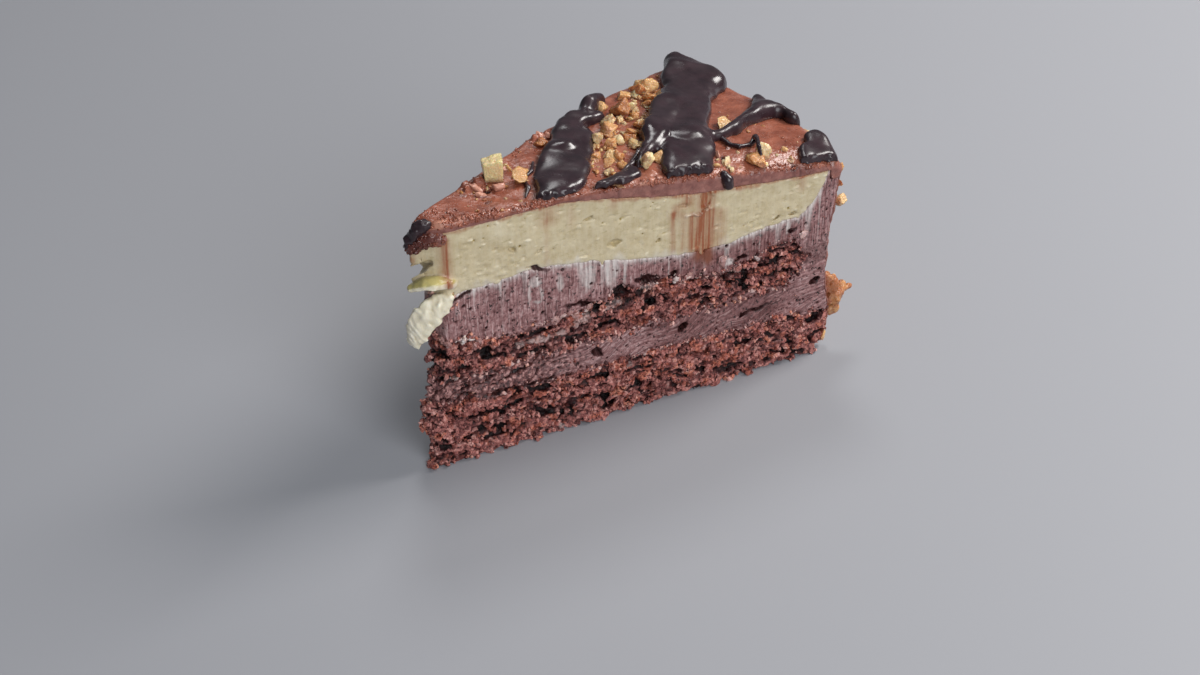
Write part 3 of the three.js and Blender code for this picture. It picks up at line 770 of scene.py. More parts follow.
def thin_out(piece, hidden, ratio):
    """Fewer faces where a piece is hidden between its neighbours."""
    group = piece.vertex_groups.new(name="hidden")
    group.add(np.flatnonzero(hidden).tolist(), 1.0, "REPLACE")
    modifier = piece.modifiers.new("thin_out", "DECIMATE")
    modifier.ratio = ratio
    modifier.vertex_group = "hidden"
    graph = bpy.context.evaluated_depsgraph_get()
    mesh = bpy.data.meshes.new_from_object(piece.evaluated_get(graph))
    piece.modifiers.clear()
    piece.vertex_groups.clear()
    old = piece.data
    piece.data = mesh
    bpy.data.meshes.remove(old)
    mesh.name = piece.name
    mesh.shade_smooth()


def field_piece(name, grid, coarse, fine=None, rounds=0):
    corners, quads = largest_body(*surface_net(grid, sample(grid, coarse, fine)))
    return new_object(name, relaxed(corners, quads, rounds), quads)


def thin_inside(piece, ratio):
    """Fewer faces where a layer lies against its neighbours, behind the cuts and short of the rim."""
    x, y, z = mesh_corners(piece).T
    hidden = (outside_cuts(x, y, z) < -FINE_DEPTH - 1) & (sponge_rim(x, y, z) < -1.5)
    thin_out(piece, hidden, ratio)


def build_layers():
    """The four layers of food, by name, each sampled from a lowest to a highest height."""
    plans = dict(
        base_sponge=(slice_grid(-0.9, 21, 26), base_coarse, base_field),
        sponge_disc=(slice_grid(22.5, 43.5, 22), disc_coarse, disc_field),
        chocolate_mousse=(slice_grid(11, 61, 16), mousse_coarse, mousse_field),
        vanilla_cream=(slice_grid(35, 73, 16), cream_coarse, cream_field),
    )
    pieces = {name: field_piece(name, *plan) for name, plan in plans.items()}
    for piece in pieces.values():
        thin_inside(piece, 0.3)
    return pieces


# Icing

ICING_STEP = 0.45
ICING_DEEP, ICING_PROUD = 8.4, 2.0  # how far the sampled sheet reaches below and above the icing's top
ICING_LAYERS, ICING_SLICES = 27, 151  # samples through the sheet and from cut to cut
ICING_BEND = 5.0  # how wide the sheet turns round the shoulder

# Torn icing that hangs over the break at the tip: [x, y, z, size]
TIP_CHUNK = [
    [14.4, -3.4, 69.6, 1.6],
    [12.8, -1.8, 69.5, 1.9],
    [11.2, -0.3, 68.6, 2.0],
    [9.8, 1.0, 67.5, 1.7],
    [9.0, 1.7, 66.3, 1.1],
]

# Knocked-up flakes and hollows of the icing round the largest nut: [x, y, size, height, direction in degrees]
ICING_FLAKES = [
    [29.5, 4.2, 3.0, 1.5, 60],
    [32.0, 1.8, 2.6, -1.3, 40],
    [33.5, 5.4, 2.8, 1.7, 80],
    [35.2, 0.2, 2.2, 1.1, 30],
    [30.5, 6.8, 2.4, 1.2, 100],
    [43.5, 8.5, 2.4, 0.9, 70],
    [57.5, 12.8, 2.6, 1.5, 60],
    [60.5, 13.8, 2.0, 1.2, 120],
    [85.0, -19.6, 2.6, 0.9, 10],
    [92.5, -19.8, 2.4, -0.8, 35],
    [70.5, -15.6, 2.6, 0.7, 10],
]


def clustered(x, y, z, balls, blend=1.0, across=(-0.724, -0.69, 0), thin=1.4):
    """Distance to balls that run together, thinner in the direction across."""
    best = np.full(x.shape, FAR)
    for cx, cy, cz, size in balls:
        off = [x - cx, y - cy, z - cz]
        level = sum(o * a for o, a in zip(off, across))
        away = np.sqrt(sum(o * o for o in off) + (thin**2 - 1) * level**2)
        best = soft_min(best, away - size, blend)
    return best


def icing_grid():
    """Sample points in a sheet that follows the icing over the top, round the shoulder and down the wall."""
    bend = ICING_BEND
    radii = np.arange(4.0, CAKE_RADIUS - bend, ICING_STEP)
    turn = np.arange(ICING_STEP / bend, math.pi / 2, ICING_STEP / bend)
    crown = ICING_TOP - ICING_RIM_DROP
    dome = ICING_TOP - ICING_RIM_DROP * (radii / CAKE_RADIUS) ** ICING_BOW
    heights = np.arange(crown - bend, WALL_FOOT - 2.0, -ICING_STEP)
    shoulder = CAKE_RADIUS - bend + bend * np.sin(turn)
    path_r = np.concatenate([radii, shoulder, np.full(len(heights), CAKE_RADIUS)])
    path_z = np.concatenate([dome, crown - bend + bend * np.cos(turn), heights])
    out_r = np.concatenate([0 * radii, np.sin(turn), np.ones(len(heights))])
    out_z = np.concatenate([1 + 0 * radii, np.cos(turn), 0 * heights])
    deep = np.where(path_z < crown - bend - 4, 6.0, ICING_DEEP)
    layers = np.linspace(0, 1, ICING_LAYERS)
    offset = -deep[:, None] + (deep[:, None] + ICING_PROUD) * layers
    r = path_r[:, None] + out_r[:, None] * offset
    z = path_z[:, None] + out_z[:, None] * offset
    side = np.linspace(-1, 1, ICING_SLICES)
    angle = side[None, :, None] * (HALF_ANGLE + 1.6 / r[:, None, :])
    shape = (len(path_r), len(side), len(layers))
    x = r[:, None, :] * np.cos(angle)
    y = r[:, None, :] * np.sin(angle)
    return [np.broadcast_to(axis, shape).astype(np.float32) for axis in (x, y, z[:, None, :])]


def icing_flakes(x, y):
    """Height of the knocked-up flakes over the plan."""
    rise = np.zeros(x.shape)
    for cx, cy, size, height, direction in ICING_FLAKES:
        a, b = turned(x - cx, y - cy, direction)
        lean = ramp(a, -size / 2, size / 2) * (1 - ramp(a, size / 2, size * 0.62))
        rise += height * lean * (1 - ramp(np.abs(b), size * 0.35, size * 0.6))
    return rise


def icing_ripple(x, y):
    """Unevenness of the spread icing: ripples, grains, bubbles, and a rough wet strip along the near cut."""
    holes = pits(x, y, 29, 6.5, 0.8, 0.2)
    rough = ramp(noise(x / 8, y / 8, 0, 30), -0.1, 0.5)
    edge = 1 - ramp(behind_cut(x, y), 0.6, 3.6)
    grain = 0.7 * noise(x / 1.7, y / 1.7, 0, 34) + 0.5 * noise(x / 0.9, y / 0.9, 0, 35)
    spread = 0.3 * noise(x / 3.8, y / 3.8, 0, 33) + (0.11 * rough + 0.6 * edge) * grain
    return spread - 0.3 * holes + icing_flakes(x, y)


def tip_chunk(x, y, z):
    """Distance to the torn icing that hangs over the tip."""
    lump, _, _ = lumps(x / 2.1, y / 2.1, z / 2.1, 36)
    grain = noise(x / 0.9, y / 0.9, z / 0.9, 37)
    return clustered(x, y, z, TIP_CHUNK) + 0.9 * (lump - 0.5) + 0.2 * grain


def icing_field(x, y, z):
    r = np.hypot(x, y)
    top = z - icing_dome(x, y) - icing_ripple(x, y)
    around = np.arctan2(y, x) * CAKE_RADIUS
    thin = 0.7 * (1 - ramp(z, 8, 24))
    spread = 0.4 * noise(around / 7, z / 3.5, 0, 25) + 0.25 * noise(around / 2.2, z / 1.4, 0, 26)
    wall = r - wall_radius(z) - np.maximum(spread, thin - WALL_SHOWN + 0.3)
    outer = soft_max(top, wall, 3.4)
    lid = cream_top(x, y) - 2.9 * ramp(r, CREAM_END - 0.2, CREAM_END + 0.6)
    inner = np.maximum(z - lid, sponge_rim(x, y, z) - thin + 0.05)
    along = along_cut(x, y) + side_seed(y)
    smeared = 0.25 * noise(along / 3, z / 1.6, 0, 27) + 0.15 * noise(along / 1.1, z / 0.9, 0, 28)
    cut = outside_cuts(x, y, z) + smeared + 0.5 * pits(along, z, 23, 3.2, 0.7, 0.3) - 0.15
    body = np.maximum(soft_max(outer, cut, 1.1 + 1.4 * ramp(r, 50, 100)), -inner)
    foot = WALL_FOOT + 0.4 + 2.2 * ramp(noise(around / 3.5, 0, 0, 38), -0.2, 0.7) - z
    body = np.maximum(body, np.where(r > 100, foot, -9))
    tip = (x < 22) & (z > 58)
    body[tip] = soft_min(body[tip], tip_chunk(x[tip], y[tip], z[tip]), 0.6)
    return body


def icing_piece():
    piece = field_piece("milk_icing", icing_grid(), icing_field)
    x, y, z = mesh_corners(piece).T
    r = np.hypot(x, y)
    under = (z < icing_dome(x, y) - 2.2) & (r < CAKE_RADIUS - ICING_BEND)
    behind = (r < wall_radius(z) - 0.9) & (z < 56)
    thin_out(piece, (under | behind) & (outside_cuts(x, y, z) < -1.5) & (x > 24), 0.25)
    return piece


# Ganache

GLOSS_ROUNDS = 10  # how often the pours' surface is evened out

# Each pour's lines over the plan: [x, y, width, height] along each
POURS = dict(
    ganache_left=[
        [
            [43.8, -10.6, 10.5, 2.2], [47.0, -7.8, 12.0, 2.8], [51, -4.2, 12.8, 2.0],
            [56.6, 0.2, 13.0, 2.4], [62.6, 5.4, 12.0, 2.6], [67.6, 10.2, 10.0, 2.8],
        ],
        [[57.0, 5.4, 4.4, 3.0], [60.2, 3.4, 4.0, 3.2]],
        [[66, 12.2, 6, 3.0], [72.6, 14.8, 7.6, 4.0], [78.4, 13.4, 5.0, 3.2]],
        [[74, 15.6, 5, 3.2], [79.8, 18.6, 5.6, 5.0], [85, 21.2, 3.4, 3.6]],
    ],
    ganache_middle=[
        [[78.0, -21.7, 11.6, 2.6], [84.4, -15, 14.0, 3.0], [89.5, -9.6, 14.2, 2.4]],
        [
            [91.4, -6.6, 13.0, 4.0], [94.5, -3, 12.4, 3.0], [98.6, 2.8, 15.0, 3.2],
            [105.4, 8.8, 15.4, 3.2], [111.5, 14, 15.4, 3.4],
        ],
        [
            [106, 9.5, 11, 3.4], [113.6, 15.6, 16.6, 4.2], [119.6, 20.6, 18.8, 5.4],
            [122.8, 24.6, 15.0, 5.0], [125.2, 28.6, 7.6, 3.2],
        ],
        [
            [99, 8.0, 8, 3.2], [93.5, 4.6, 8.4, 4.0], [88.2, 0.6, 8.4, 4.6], [83.4, -3.2, 8.4, 4.4],
            [79.6, -6.2, 5.2, 3.4], [75.6, -8.4, 2.0, 1.8], [71, -10.0, 1.7, 1.6],
            [66.5, -11.4, 1.8, 1.6],
        ],
        [
            [96.5, -10.2, 3.4, 2.2], [101.5, -10.6, 3.0, 2.4], [107.5, -9.4, 3.6, 2.8],
            [113.5, -7.0, 4.6, 3.2], [119, -5.4, 5.6, 3.6], [123.6, -5.4, 6.4, 3.8],
            [126, -8.6, 5.2, 3.4], [125.2, -12.6, 4.0, 2.8],
        ],
        [[119, -4.4, 5, 3.2], [124, -1.2, 5.6, 3.4], [127, 1.6, 4.0, 2.6]],
    ],
    ganache_corner=[
        [[115.2, -31.6, 8.6, 2.0], [119.2, -28.4, 10.4, 2.6], [122.6, -24.8, 9.0, 2.8]],
    ],
    ganache_front=[
        [[56.6, -14.6, 4.8, 2.0], [61.5, -14.4, 6, 2.6], [66.6, -13.2, 4.6, 2.0]],
    ],
)

# The lump of ganache on the torn tip: [x, y, z, size]
TIP_LUMP = [
    [12.4, -1.2, 73.6, 1.1],
    [11.6, -0.5, 73.4, 1.5],
    [10.8, 0.3, 72.4, 1.8],
    [9.9, 1.0, 70.9, 1.6],
    [9.0, 1.9, 69.2, 1.5],
    [8.5, 2.4, 67.4, 1.0],
]

# Thin strings of ganache: [x, y, height over the icing, half thickness] along each
STRINGS = [
    [
        [49.5, 4.6, 0.4, 0.35], [46.6, 1.6, 0.5, 0.4], [42.6, 0.2, 0.4, 0.3], [41, -4.0, 0.5, 0.6],
        [38, -6.6, 0.2, 0.3],
    ],
    [
        [86, -1.6, 1.6, 0.5], [80, -4.8, 1.4, 0.45], [74, -7.4, 1.2, 0.5], [68.5, -10.4, 0.8, 0.5],
        [64, -12.4, 0.6, 0.6],
    ],
    [[83, -4.6, 1.2, 0.5], [77, -7.6, 2.2, 0.5], [72.5, -10, 2.4, 0.55], [69.5, -12.4, 0.8, 0.5]],
    [
        [99, -12, 0.6, 0.6], [98.6, -15.4, 0.5, 0.5], [99.6, -18, 0.6, 0.6], [103, -18.6, 0.6, 0.5],
        [106, -17.4, 1.2, 1.0],
    ],
    [
        [106, -17.4, 1.4, 0.9], [103.6, -20.4, 3.0, 0.55], [101.6, -23, 3.6, 0.5],
        [100.8, -24.6, 2.8, 0.5],
    ],
    [[88.8, -23.6, -0.6, 1.0], [89.2, -24.6, -1.9, 1.5], [89.4, -24.9, -3.2, 1.4]],
]


def pour_distance(x, y, z, stations):
    """Distance outside a domed pour that follows stations over the icing."""
    stations = np.array(stations, float)
    wobble_x = x + 0.9 * noise(x / 4.6, y / 4.6, 0, 71) + 0.35 * noise(x / 1.9, y / 1.9, 0, 80)
    wobble_y = y + 0.9 * noise(x / 4.6, y / 4.6, 0, 72) + 0.35 * noise(x / 1.9, y / 1.9, 0, 83)
    best = np.full(x.shape, FAR)
    width = np.ones(x.shape)
    height = np.ones(x.shape)
    for start, end in zip(stations[:-1], stations[1:]):
        run = end - start
        t = ((wobble_x - start[0]) * run[0] + (wobble_y - start[1]) * run[1]) / (run[0] ** 2 + run[1] ** 2)
        t = np.clip(t, 0, 1)
        away = np.hypot(wobble_x - start[0] - t * run[0], wobble_y - start[1] - t * run[1])
        here = away / (start[2] + t * run[2])
        closer = here < best
        best = np.where(closer, here, best)
        width = np.where(closer, start[2] + t * run[2], width)
        height = np.where(closer, start[3] + t * run[3], height)
    up = (z - icing_top(x, y)) / height
    flat = np.where(width > 6, 5.0, 2.4)
    ratio = (np.maximum(best * 2, 1e-4) ** flat + np.maximum(up, 0) ** 2.2) ** (1 / 2.8)
    return (ratio - 1) * np.minimum(width / 2, height)


def pour_field(lines):
    def field(x, y, z):
        body = pour_distance(x, y, z, lines[0])
        for line in lines[1:]:
            body = soft_min(body, pour_distance(x, y, z, line), 0.8)
        body = body + 0.6 * noise(x / 6, y / 6, z / 6, 78) + 0.05 * noise(x / 2.6, y / 2.6, z / 2.6, 73)
        around = np.arctan2(y, x) * CAKE_RADIUS
        rim = np.hypot(x, y) - CAKE_RADIUS - 0.9 + 0.5 * noise(around / 4, z / 4, 0, 111)
        body = soft_max(body, rim, 3.6)
        floor = icing_top(x, y) - 0.35 - z
        depth = outside_cuts(x, y, z)
        chip, _, _ = lumps(x / 1.5, y / 1.5, z / 1.1, 79)
        cut = depth + 2.0 * (chip - 0.4) + 0.5 * noise(x / 0.9, y / 0.9, z / 0.9, 75)
        near_cut = ramp(-x * SIN - y * COS, -6, -2)
        cut = np.where(near_cut > 0, cut, depth)
        return soft_max(soft_max(body, floor, 0.3), cut, 0.4)

    return field


def tip_lump(x, y, z):
    chip, _, _ = lumps(x / 1.4, y / 1.4, z / 1.2, 77)
    body = clustered(x, y, z, TIP_LUMP, 0.8, thin=1.1)
    return body + 0.7 * (chip - 0.5) + 0.25 * noise(x / 0.8, y / 0.8, z / 0.8, 76)


def ganache_piece(name):
    if name == "ganache_tip":
        return field_piece(name, box_grid([4, -7, 64], [19, 7, 79], 0.3), tip_lump)
    lines = POURS[name]
    stations = np.array([station for line in lines for station in line])
    reach = stations[:, 2].max() / 2 + 2
    low = [stations[:, 0].min() - reach, stations[:, 1].min() - reach, 58]
    high = [stations[:, 0].max() + reach, stations[:, 1].max() + reach, 79]
    heights = icing_top(stations[:, 0], stations[:, 1])
    low[2], high[2] = heights.min() - 3, heights.max() + 5
    return field_piece(name, box_grid(low, high, 0.38), pour_field(lines), rounds=GLOSS_ROUNDS)


def one_string(path):
    def field(x, y, z):
        best = np.full(x.shape, FAR)
        for start, end in zip(path[:-1], path[1:]):
            run = end[:3] - start[:3]
            rel = [x - start[0], y - start[1], z - start[2]]
            t = np.clip(sum(r * c for r, c in zip(rel, run)) / (run @ run), 0, 1)
            away = np.sqrt(sum((r - t * c) ** 2 for r, c in zip(rel, run)))
            best = soft_min(best, away - start[3] - t * (end[3] - start[3]), 0.3)
        return best + 0.12 * noise(x / 1.5, y / 1.5, z / 1.5, 74)

    return field


def string_pieces():
    """One mesh of all the strings, each sampled in a box of its own."""
    parts = []
    for line in STRINGS:
        path = np.array(line)
        path[:, 2] += icing_top(path[:, 0], path[:, 1])
        low, high = path[:, :3].min(axis=0) - 2, path[:, :3].max(axis=0) + 2
        grid = box_grid(low, high, 0.24)
        parts.append(largest_body(*surface_net(grid, sample(grid, one_string(path)))))
    corners, faces, _ = gather(parts)
    return new_object("ganache_strings", corners, faces)


# Nuts

NUT_SUNK = 0.9
CUBE_NUT = [37.8, 5.8, 6.8]
WALL_NUTS = 130

# The nuts that stand out on the top: [x, y, size, tone from brown to pale, height share]
LARGE_NUTS = [
    [41.0, 0.2, 5.8, 0.45, 1.5],
    [43, 6.2, 3.0, 0.5, 0.8],
    [36.4, 1.2, 3.2, 0.3, 0.5],
    [57.6, 11.4, 3.8, 0.1, 0.9],
    [75.4, 6.4, 6.2, 0.4, 0.7],
    [78.6, 9.4, 4.8, 0.8, 0.9],
    [85.2, 12.4, 6.4, 0.12, 1.5],
    [83, 17.2, 5.2, 0.55, 1.0],
    [82.6, 9.4, 3.4, 0.75, 0.6],
    [85.4, 8.6, 2.2, 0.8, 0.6],
    [98, 19.4, 4.8, 0.1, 0.9],
    [102.2, 20.4, 6.6, 0.6, 0.8],
    [93, 20.4, 4.4, 0.4, 0.7],
    [98.4, 14.8, 4.4, 0.3, 0.6],
    [75.5, 2.4, 3.8, 0.85, 0.6],
    [78.4, 0.8, 3.8, 0.85, 0.5],
    [69.2, 2.6, 4.8, 0.8, 0.7],
    [65.8, 0.8, 2.8, 0.6, 0.6],
    [64.8, -2.4, 3.6, 0.25, 0.6],
    [67.4, -3.2, 3.2, 0.8, 0.6],
    [64.2, -6.4, 4.4, 0.4, 0.5],
    [72.4, -12.2, 5.2, 0.95, 0.9],
    [77.4, -11.6, 4.6, 0.5, 0.7],
    [105, -6.6, 6.4, 0.65, 0.8],
    [99.6, -24.0, 6.2, 0.3, 0.8],
    [103.4, -22.8, 4.6, 0.85, 0.8],
    [109, -26.4, 3.8, 0.9, 0.4],
    [92.4, -21.2, 3.4, 0.85, 0.5],
    [88.6, -20.6, 2.2, 0.6, 0.5],
]

# Pieces and chips in the band between the pours: [how many, their sizes, how wide they spread]
BAND_NUTS = [
    [34, (2.2, 4.4), 2.7],
    [80, (0.9, 2.2), 3.0],
]
POUR_CHIPS = 16  # before the right pour
LOOSE_CHIPS = 90  # all over the top

# Nuts in the wall at the near corner: [distance from the corner, height, size, tone]
CORNER_NUTS = [
    [1.8, 58.4, 2.8, 0.4],
    [1.6, 53.6, 3.0, 0.05],
    [1.8, 47.8, 5.0, 0.7],
    [1.6, 3.4, 3.0, 0.6],
]

# The big piece of nut at the rim: [out from the wall, distance from the near corner, height, size]
RIM_NUT = [
    [0.8, 2.4, 22.4, 2.0],
    [1.9, 2.8, 19.6, 2.7],
    [2.4, 2.8, 15.6, 3.0],
    [1.8, 2.2, 11.6, 2.1],
    [5.2, 3.2, 17.2, 1.9],
    [8.0, 3.4, 16.4, 1.0],
]


def ball(level):
    """Corners and triangles of an even ball of radius 1."""
    shape = bmesh.new()
    bmesh.ops.create_icosphere(shape, subdivisions=level, radius=1)
    corners = np.array([v.co[:] for v in shape.verts])
    faces = np.array([[v.index for v in f.verts] for f in shape.faces])
    shape.free()
    return corners, faces


BALLS = {level: ball(level) for level in (1, 2, 3, 4)}


def flat_cuts(random, cuts):
    """Directions and depths of the flat faces that chop a nut."""
    faces = random.normal(size=(cuts, 3))
    faces /= np.linalg.norm(faces, axis=1)[:, None]
    return faces, random.uniform(0.3, 0.8, cuts)


def cube_cuts(random):
    """Six faces of a rough cube."""
    faces = np.concatenate([np.eye(3), -np.eye(3)]) + random.normal(size=(6, 3)) * 0.12
    faces /= np.linalg.norm(faces, axis=1)[:, None]
    return faces, random.uniform(0.5, 0.6, 6)


def chopped(corners, cuts, share):
    """Corners moved to the flat cuts, by a share of how far they stand past them."""
    for face, depth in zip(*cuts):
        past = corners @ face - depth
        corners = corners - np.where(past > 0, past, 0)[:, None] * face * share
    return corners


def nut_chunk(random, size, level=3, cuts=8, stretch=(1.3, 1.0, 0.62), tilt=0.35):
    """A chopped nut: a ball with flat cuts and chips. Returns its corners, faces and where skin is left."""
    corners, faces = BALLS[level]
    seeds = random.uniform(0, 50, (4, 3))
    corners = corners * (1 + 0.22 * noise(*(corners * 1.5 + seeds[0]).T)[:, None])
    whole = corners.copy()
    corners = chopped(corners, flat_cuts(random, cuts), 0.9)
    skin = 1 - ramp(np.linalg.norm(whole - corners, axis=1), 0.0, 0.08)
    chips = 0.18 * noise(*(corners * 2.6 + seeds[1]).T) - 0.16 * np.abs(noise(*(corners * 4.4 + seeds[2]).T))
    corners = corners * (1 + chips + 0.06 * noise(*(corners * 9 + seeds[3]).T))[:, None]
    corners = corners * np.array(stretch) * random.uniform(0.8, 1.2, 3)
    lean = Matrix.Rotation(random.normal() * tilt, 3, Vector((*random.normal(size=2), 0)))
    turn = np.array(Matrix.Rotation(random.uniform(0, 6.28), 3, "Z") @ lean)
    corners = corners @ turn.T
    return corners * size / np.ptp(corners, axis=0).max(), faces, skin


def cube_nut(random, size):
    """The block of nut near the tip, one flat side to the front."""
    corners, faces = BALLS[4]
    front = math.atan2(CAMERA_AIM[1], CAMERA_AIM[0])
    corners = chopped(corners, cube_cuts(random), 0.97)
    chips = 0.05 * noise(*(corners * 2.6).T) + 0.03 * noise(*(corners * 7).T)
    corners = corners * (1 + chips)[:, None] * [0.8, 0.86, 1.1]
    turn = np.array(Matrix.Rotation(front + 0.1, 3, "Z"))
    return corners @ turn.T * size / np.ptp(corners, axis=0).max(), faces, np.zeros(len(corners))


def top_nut_places(random):
    """[x, y, size, tone, height share] of the nuts on the top: those that stand out, then pieces and chips in
    the band between the pours, chips before the right pour, and small bits all over."""
    places = [list(place) for place in LARGE_NUTS]
    for count, sizes, spread in BAND_NUTS:
        for _ in range(count):
            t = random.uniform(-0.05, 0.95)
            x = 62 + 44 * t + random.normal() * 0.8 * spread
            y = -7 + 27 * t + random.normal() * spread
            places.append([x, y, random.uniform(*sizes), random.uniform(0.1, 1), random.uniform(0.4, 0.9)])
    for _ in range(POUR_CHIPS):
        x, y = random.uniform(88, 112), random.uniform(-27, -17)
        places.append([x, y, random.uniform(0.8, 2.4), random.uniform(0.4, 1), 0.6])
    for _ in range(LOOSE_CHIPS):
        r, angle = random.uniform(24, 124), random.uniform(-0.97, 0.97) * HALF_ANGLE
        x, y = r * math.cos(angle), r * math.sin(angle)
        places.append([x, y, random.uniform(0.5, 1.5), random.uniform(), 0.6])
    return places


def seated(made, x, y, size, tone):
    """A nut set into the icing at x, y, with how deep each corner lies in it."""
    corners, faces, skin = made
    ground = float(icing_top(np.array([x]), np.array([y]))[0])
    corners = corners + [x, y, ground - min(NUT_SUNK, size / 4) - corners[:, 2].min()]
    sunk = 1 - ramp(corners[:, 2] - ground, 0.1, 0.3 + 0.16 * size)
    return corners, faces, skin, np.full(len(corners), tone), sunk


def wall_nut(random, along, height, size, tone, level):
    """A nut pressed into the wall, at a distance along it from the near corner."""
    corners, faces, skin = nut_chunk(random, size, level, stretch=(0.75, 1.0, 1.2))
    face = float(wall_radius(height))
    corners = corners + [face - min(NUT_SUNK, size / 4) - corners[:, 0].min(), 0, height]
    sunk = 1 - ramp(corners[:, 0] - face, 0.1, 0.3 + 0.16 * size)
    turn = np.array(Matrix.Rotation(along / CAKE_RADIUS - HALF_ANGLE, 3, "Z"))
    return corners @ turn.T, faces, skin, np.full(len(corners), tone), sunk


def nut_level(size):
    """How finely a nut of a size is meshed."""
    return 4 if size > 3.2 else 3 if size > 1.5 else 2


def nuts_piece():
    random = np.random.default_rng(7)
    x, y, size = CUBE_NUT
    parts = [seated(cube_nut(random, size), x, y, size, 1.15)]
    for x, y, size, tone, share in top_nut_places(random):
        if math.hypot(x, y) < CAKE_RADIUS - 2 and abs(y) < x * TAN - 0.6:
            made = nut_chunk(random, size, nut_level(size), stretch=(1.25, 1.0, share))
            parts.append(seated(made, x, y, size, tone))
    for along, height, size, tone in CORNER_NUTS:
        parts.append(wall_nut(random, along, height, size, tone, 4))
    for _ in range(WALL_NUTS):
        along = random.uniform(11, 2 * HALF_ANGLE * CAKE_RADIUS - 1)
        height, size = random.uniform(7, 61), random.uniform(1.0, 5.4)
        parts.append(wall_nut(random, along, height, size, random.uniform(), 3))
    corners, faces, (skin, tone, sunk) = gather(parts)
    piece = new_object("chopped_hazelnuts", corners, faces)
    paint(piece, skin=skin, tone=tone, sunk=sunk)
    return piece


def rim_nut_piece():
    along = RIM_NUT[0][1]
    angle = along / CAKE_RADIUS - HALF_ANGLE
    out, side = (math.cos(angle), math.sin(angle)), (-math.sin(angle), math.cos(angle))
    balls = []
    for proud, near, height, size in RIM_NUT:
        r = float(wall_radius(height)) + proud
        shift = near - along
        balls.append([r * out[0] + shift * side[0], r * out[1] + shift * side[1], height, size])

    def field(x, y, z):
        furrow = 0.9 * np.abs(noise(x / 2.0, y / 2.0, z / 2.8, 91))
        chips = 0.4 * noise(x / 1.1, y / 1.1, z / 1.1, 92)
        return clustered(x, y, z, balls, 0.5, (*side, 0), 1.15) + furrow + chips - 0.25

    places = np.array(balls)[:, :3]
    piece = field_piece("rim_nut", box_grid(places.min(axis=0) - 4, places.max(axis=0) + 4, 0.3), field)
    x, y, z = mesh_corners(piece).T
    tone = 0.1 + 0.3 * (1 - ramp(z, 11, 14)) + 0.3 * noise(x / 3, y / 3, z / 3, 93)
    sunk = 1 - ramp(np.hypot(x, y) - wall_radius(z), 0.1, 0.8)
    paint(piece, skin=ramp(noise(x / 2.5, y / 2.5, z / 2.5, 94), 0.0, 0.3), tone=tone, sunk=sunk)
    return piece


# Crumbs and wet grains

BASE_CRUMBS, DISC_CRUMBS, MOUSSE_CRUMBS = 7400, 4800, 4200
CREAM_BITS, ICING_GRAINS = 150, 1300

# Flakes of icing knocked up round the block of nut: [x, y, size, thickness as a share of its width]
ICING_SHARDS = [
    [30.6, 3.4, 4.6, 0.5],
    [30.4, 0.8, 3.4, 0.45],
    [26.1, 4.0, 3.6, 0.5],
    [29.6, -3.3, 3.0, 0.5],
    [34.7, 0.6, 3.6, 0.6],
    [33.4, 8.0, 2.6, 0.4],
    [42.6, 7.0, 2.6, 0.5],
    [58.8, 13.6, 3.0, 0.4],
    [61.0, 12.6, 2.4, 0.5],
    [91.5, -18.2, 2.6, 0.4],
    [96.5, -16.6, 2.2, 0.4],
]


def scattered(name, piece, chance, count, sizes, seed, level=1, proud=0.2, flat=0.0, rough=0.3):
    """Small uneven grains stuck to a piece, likelier where chance is high, and pressed flat against it by the
    share flat. Also gives each grain's own number and the corner of the piece that it sits on."""
    random = np.random.default_rng(seed)
    home = random.choice(len(chance), count, p=chance / chance.sum())
    size = sizes[0] + (sizes[1] - sizes[0]) * random.uniform(size=count) ** 2
    ball_corners, ball_faces = BALLS[level]
    grain = ball_corners * (1 + random.uniform(-rough, rough, (count, len(ball_corners), 1)))
    grain = grain * random.uniform(0.7, 1.3, (count, 1, 3)) * size[:, None, None] / 2
    normal = mesh_normals(piece)[home]
    out = (grain * normal[:, None]).sum(axis=2)
    grain = grain - flat * out[..., None] * normal[:, None]
    middle = mesh_corners(piece)[home] + normal * (proud * size)[:, None]
    corners = grain + middle[:, None]
    corners[..., 2] = np.maximum(corners[..., 2], 0.02)
    faces = ball_faces + len(ball_corners) * np.arange(count)[:, None, None]
    made = new_object(name, corners.reshape(-1, 3), faces.reshape(-1, 3))
    made.data.shade_flat()
    return made, np.repeat(random.uniform(size=count), len(ball_corners)), np.repeat(home, len(ball_corners))


def sponge_crumbs(name, piece, count, seed):
    """Loose crumbs in clumps over both cuts, the break and the bare foot of a sponge layer."""
    x, y, z = mesh_corners(piece).T
    depth = read_paint(piece, "depth")
    clumps = ramp(noise(x / 2.6, y / 2.6, z / 1.6, 100), -0.25, 0.45)
    foot = ramp(sponge_rim(x, y, z), -1.4, -0.6) * (1 - ramp(z, 3.5, 5))
    shown = np.maximum(ramp(outside_cuts(x, y, z), -2.8, -1.6), 0.7 * foot)
    chance = shown * (0.03 + depth**1.8) * (0.06 + clumps) * (z > 0.15)
    form = dict(proud=0.12, flat=0.25, rough=0.5)
    made, own, home = scattered(name, piece, chance, count, (0.3, 1.5), seed, **form)
    patch = 0.5 + 0.5 * noise(x / 2.2, y / 2.2, z / 1.2, 114)
    tone = 0.1 + 0.45 * own + 0.45 * patch[home]
    # depth: painted shade, darker for crumbs that sit in crevices
    paint(made, depth=0.1 + 1.0 * depth[home], tone=tone, smear=read_paint(piece, "smear")[home])
    return made


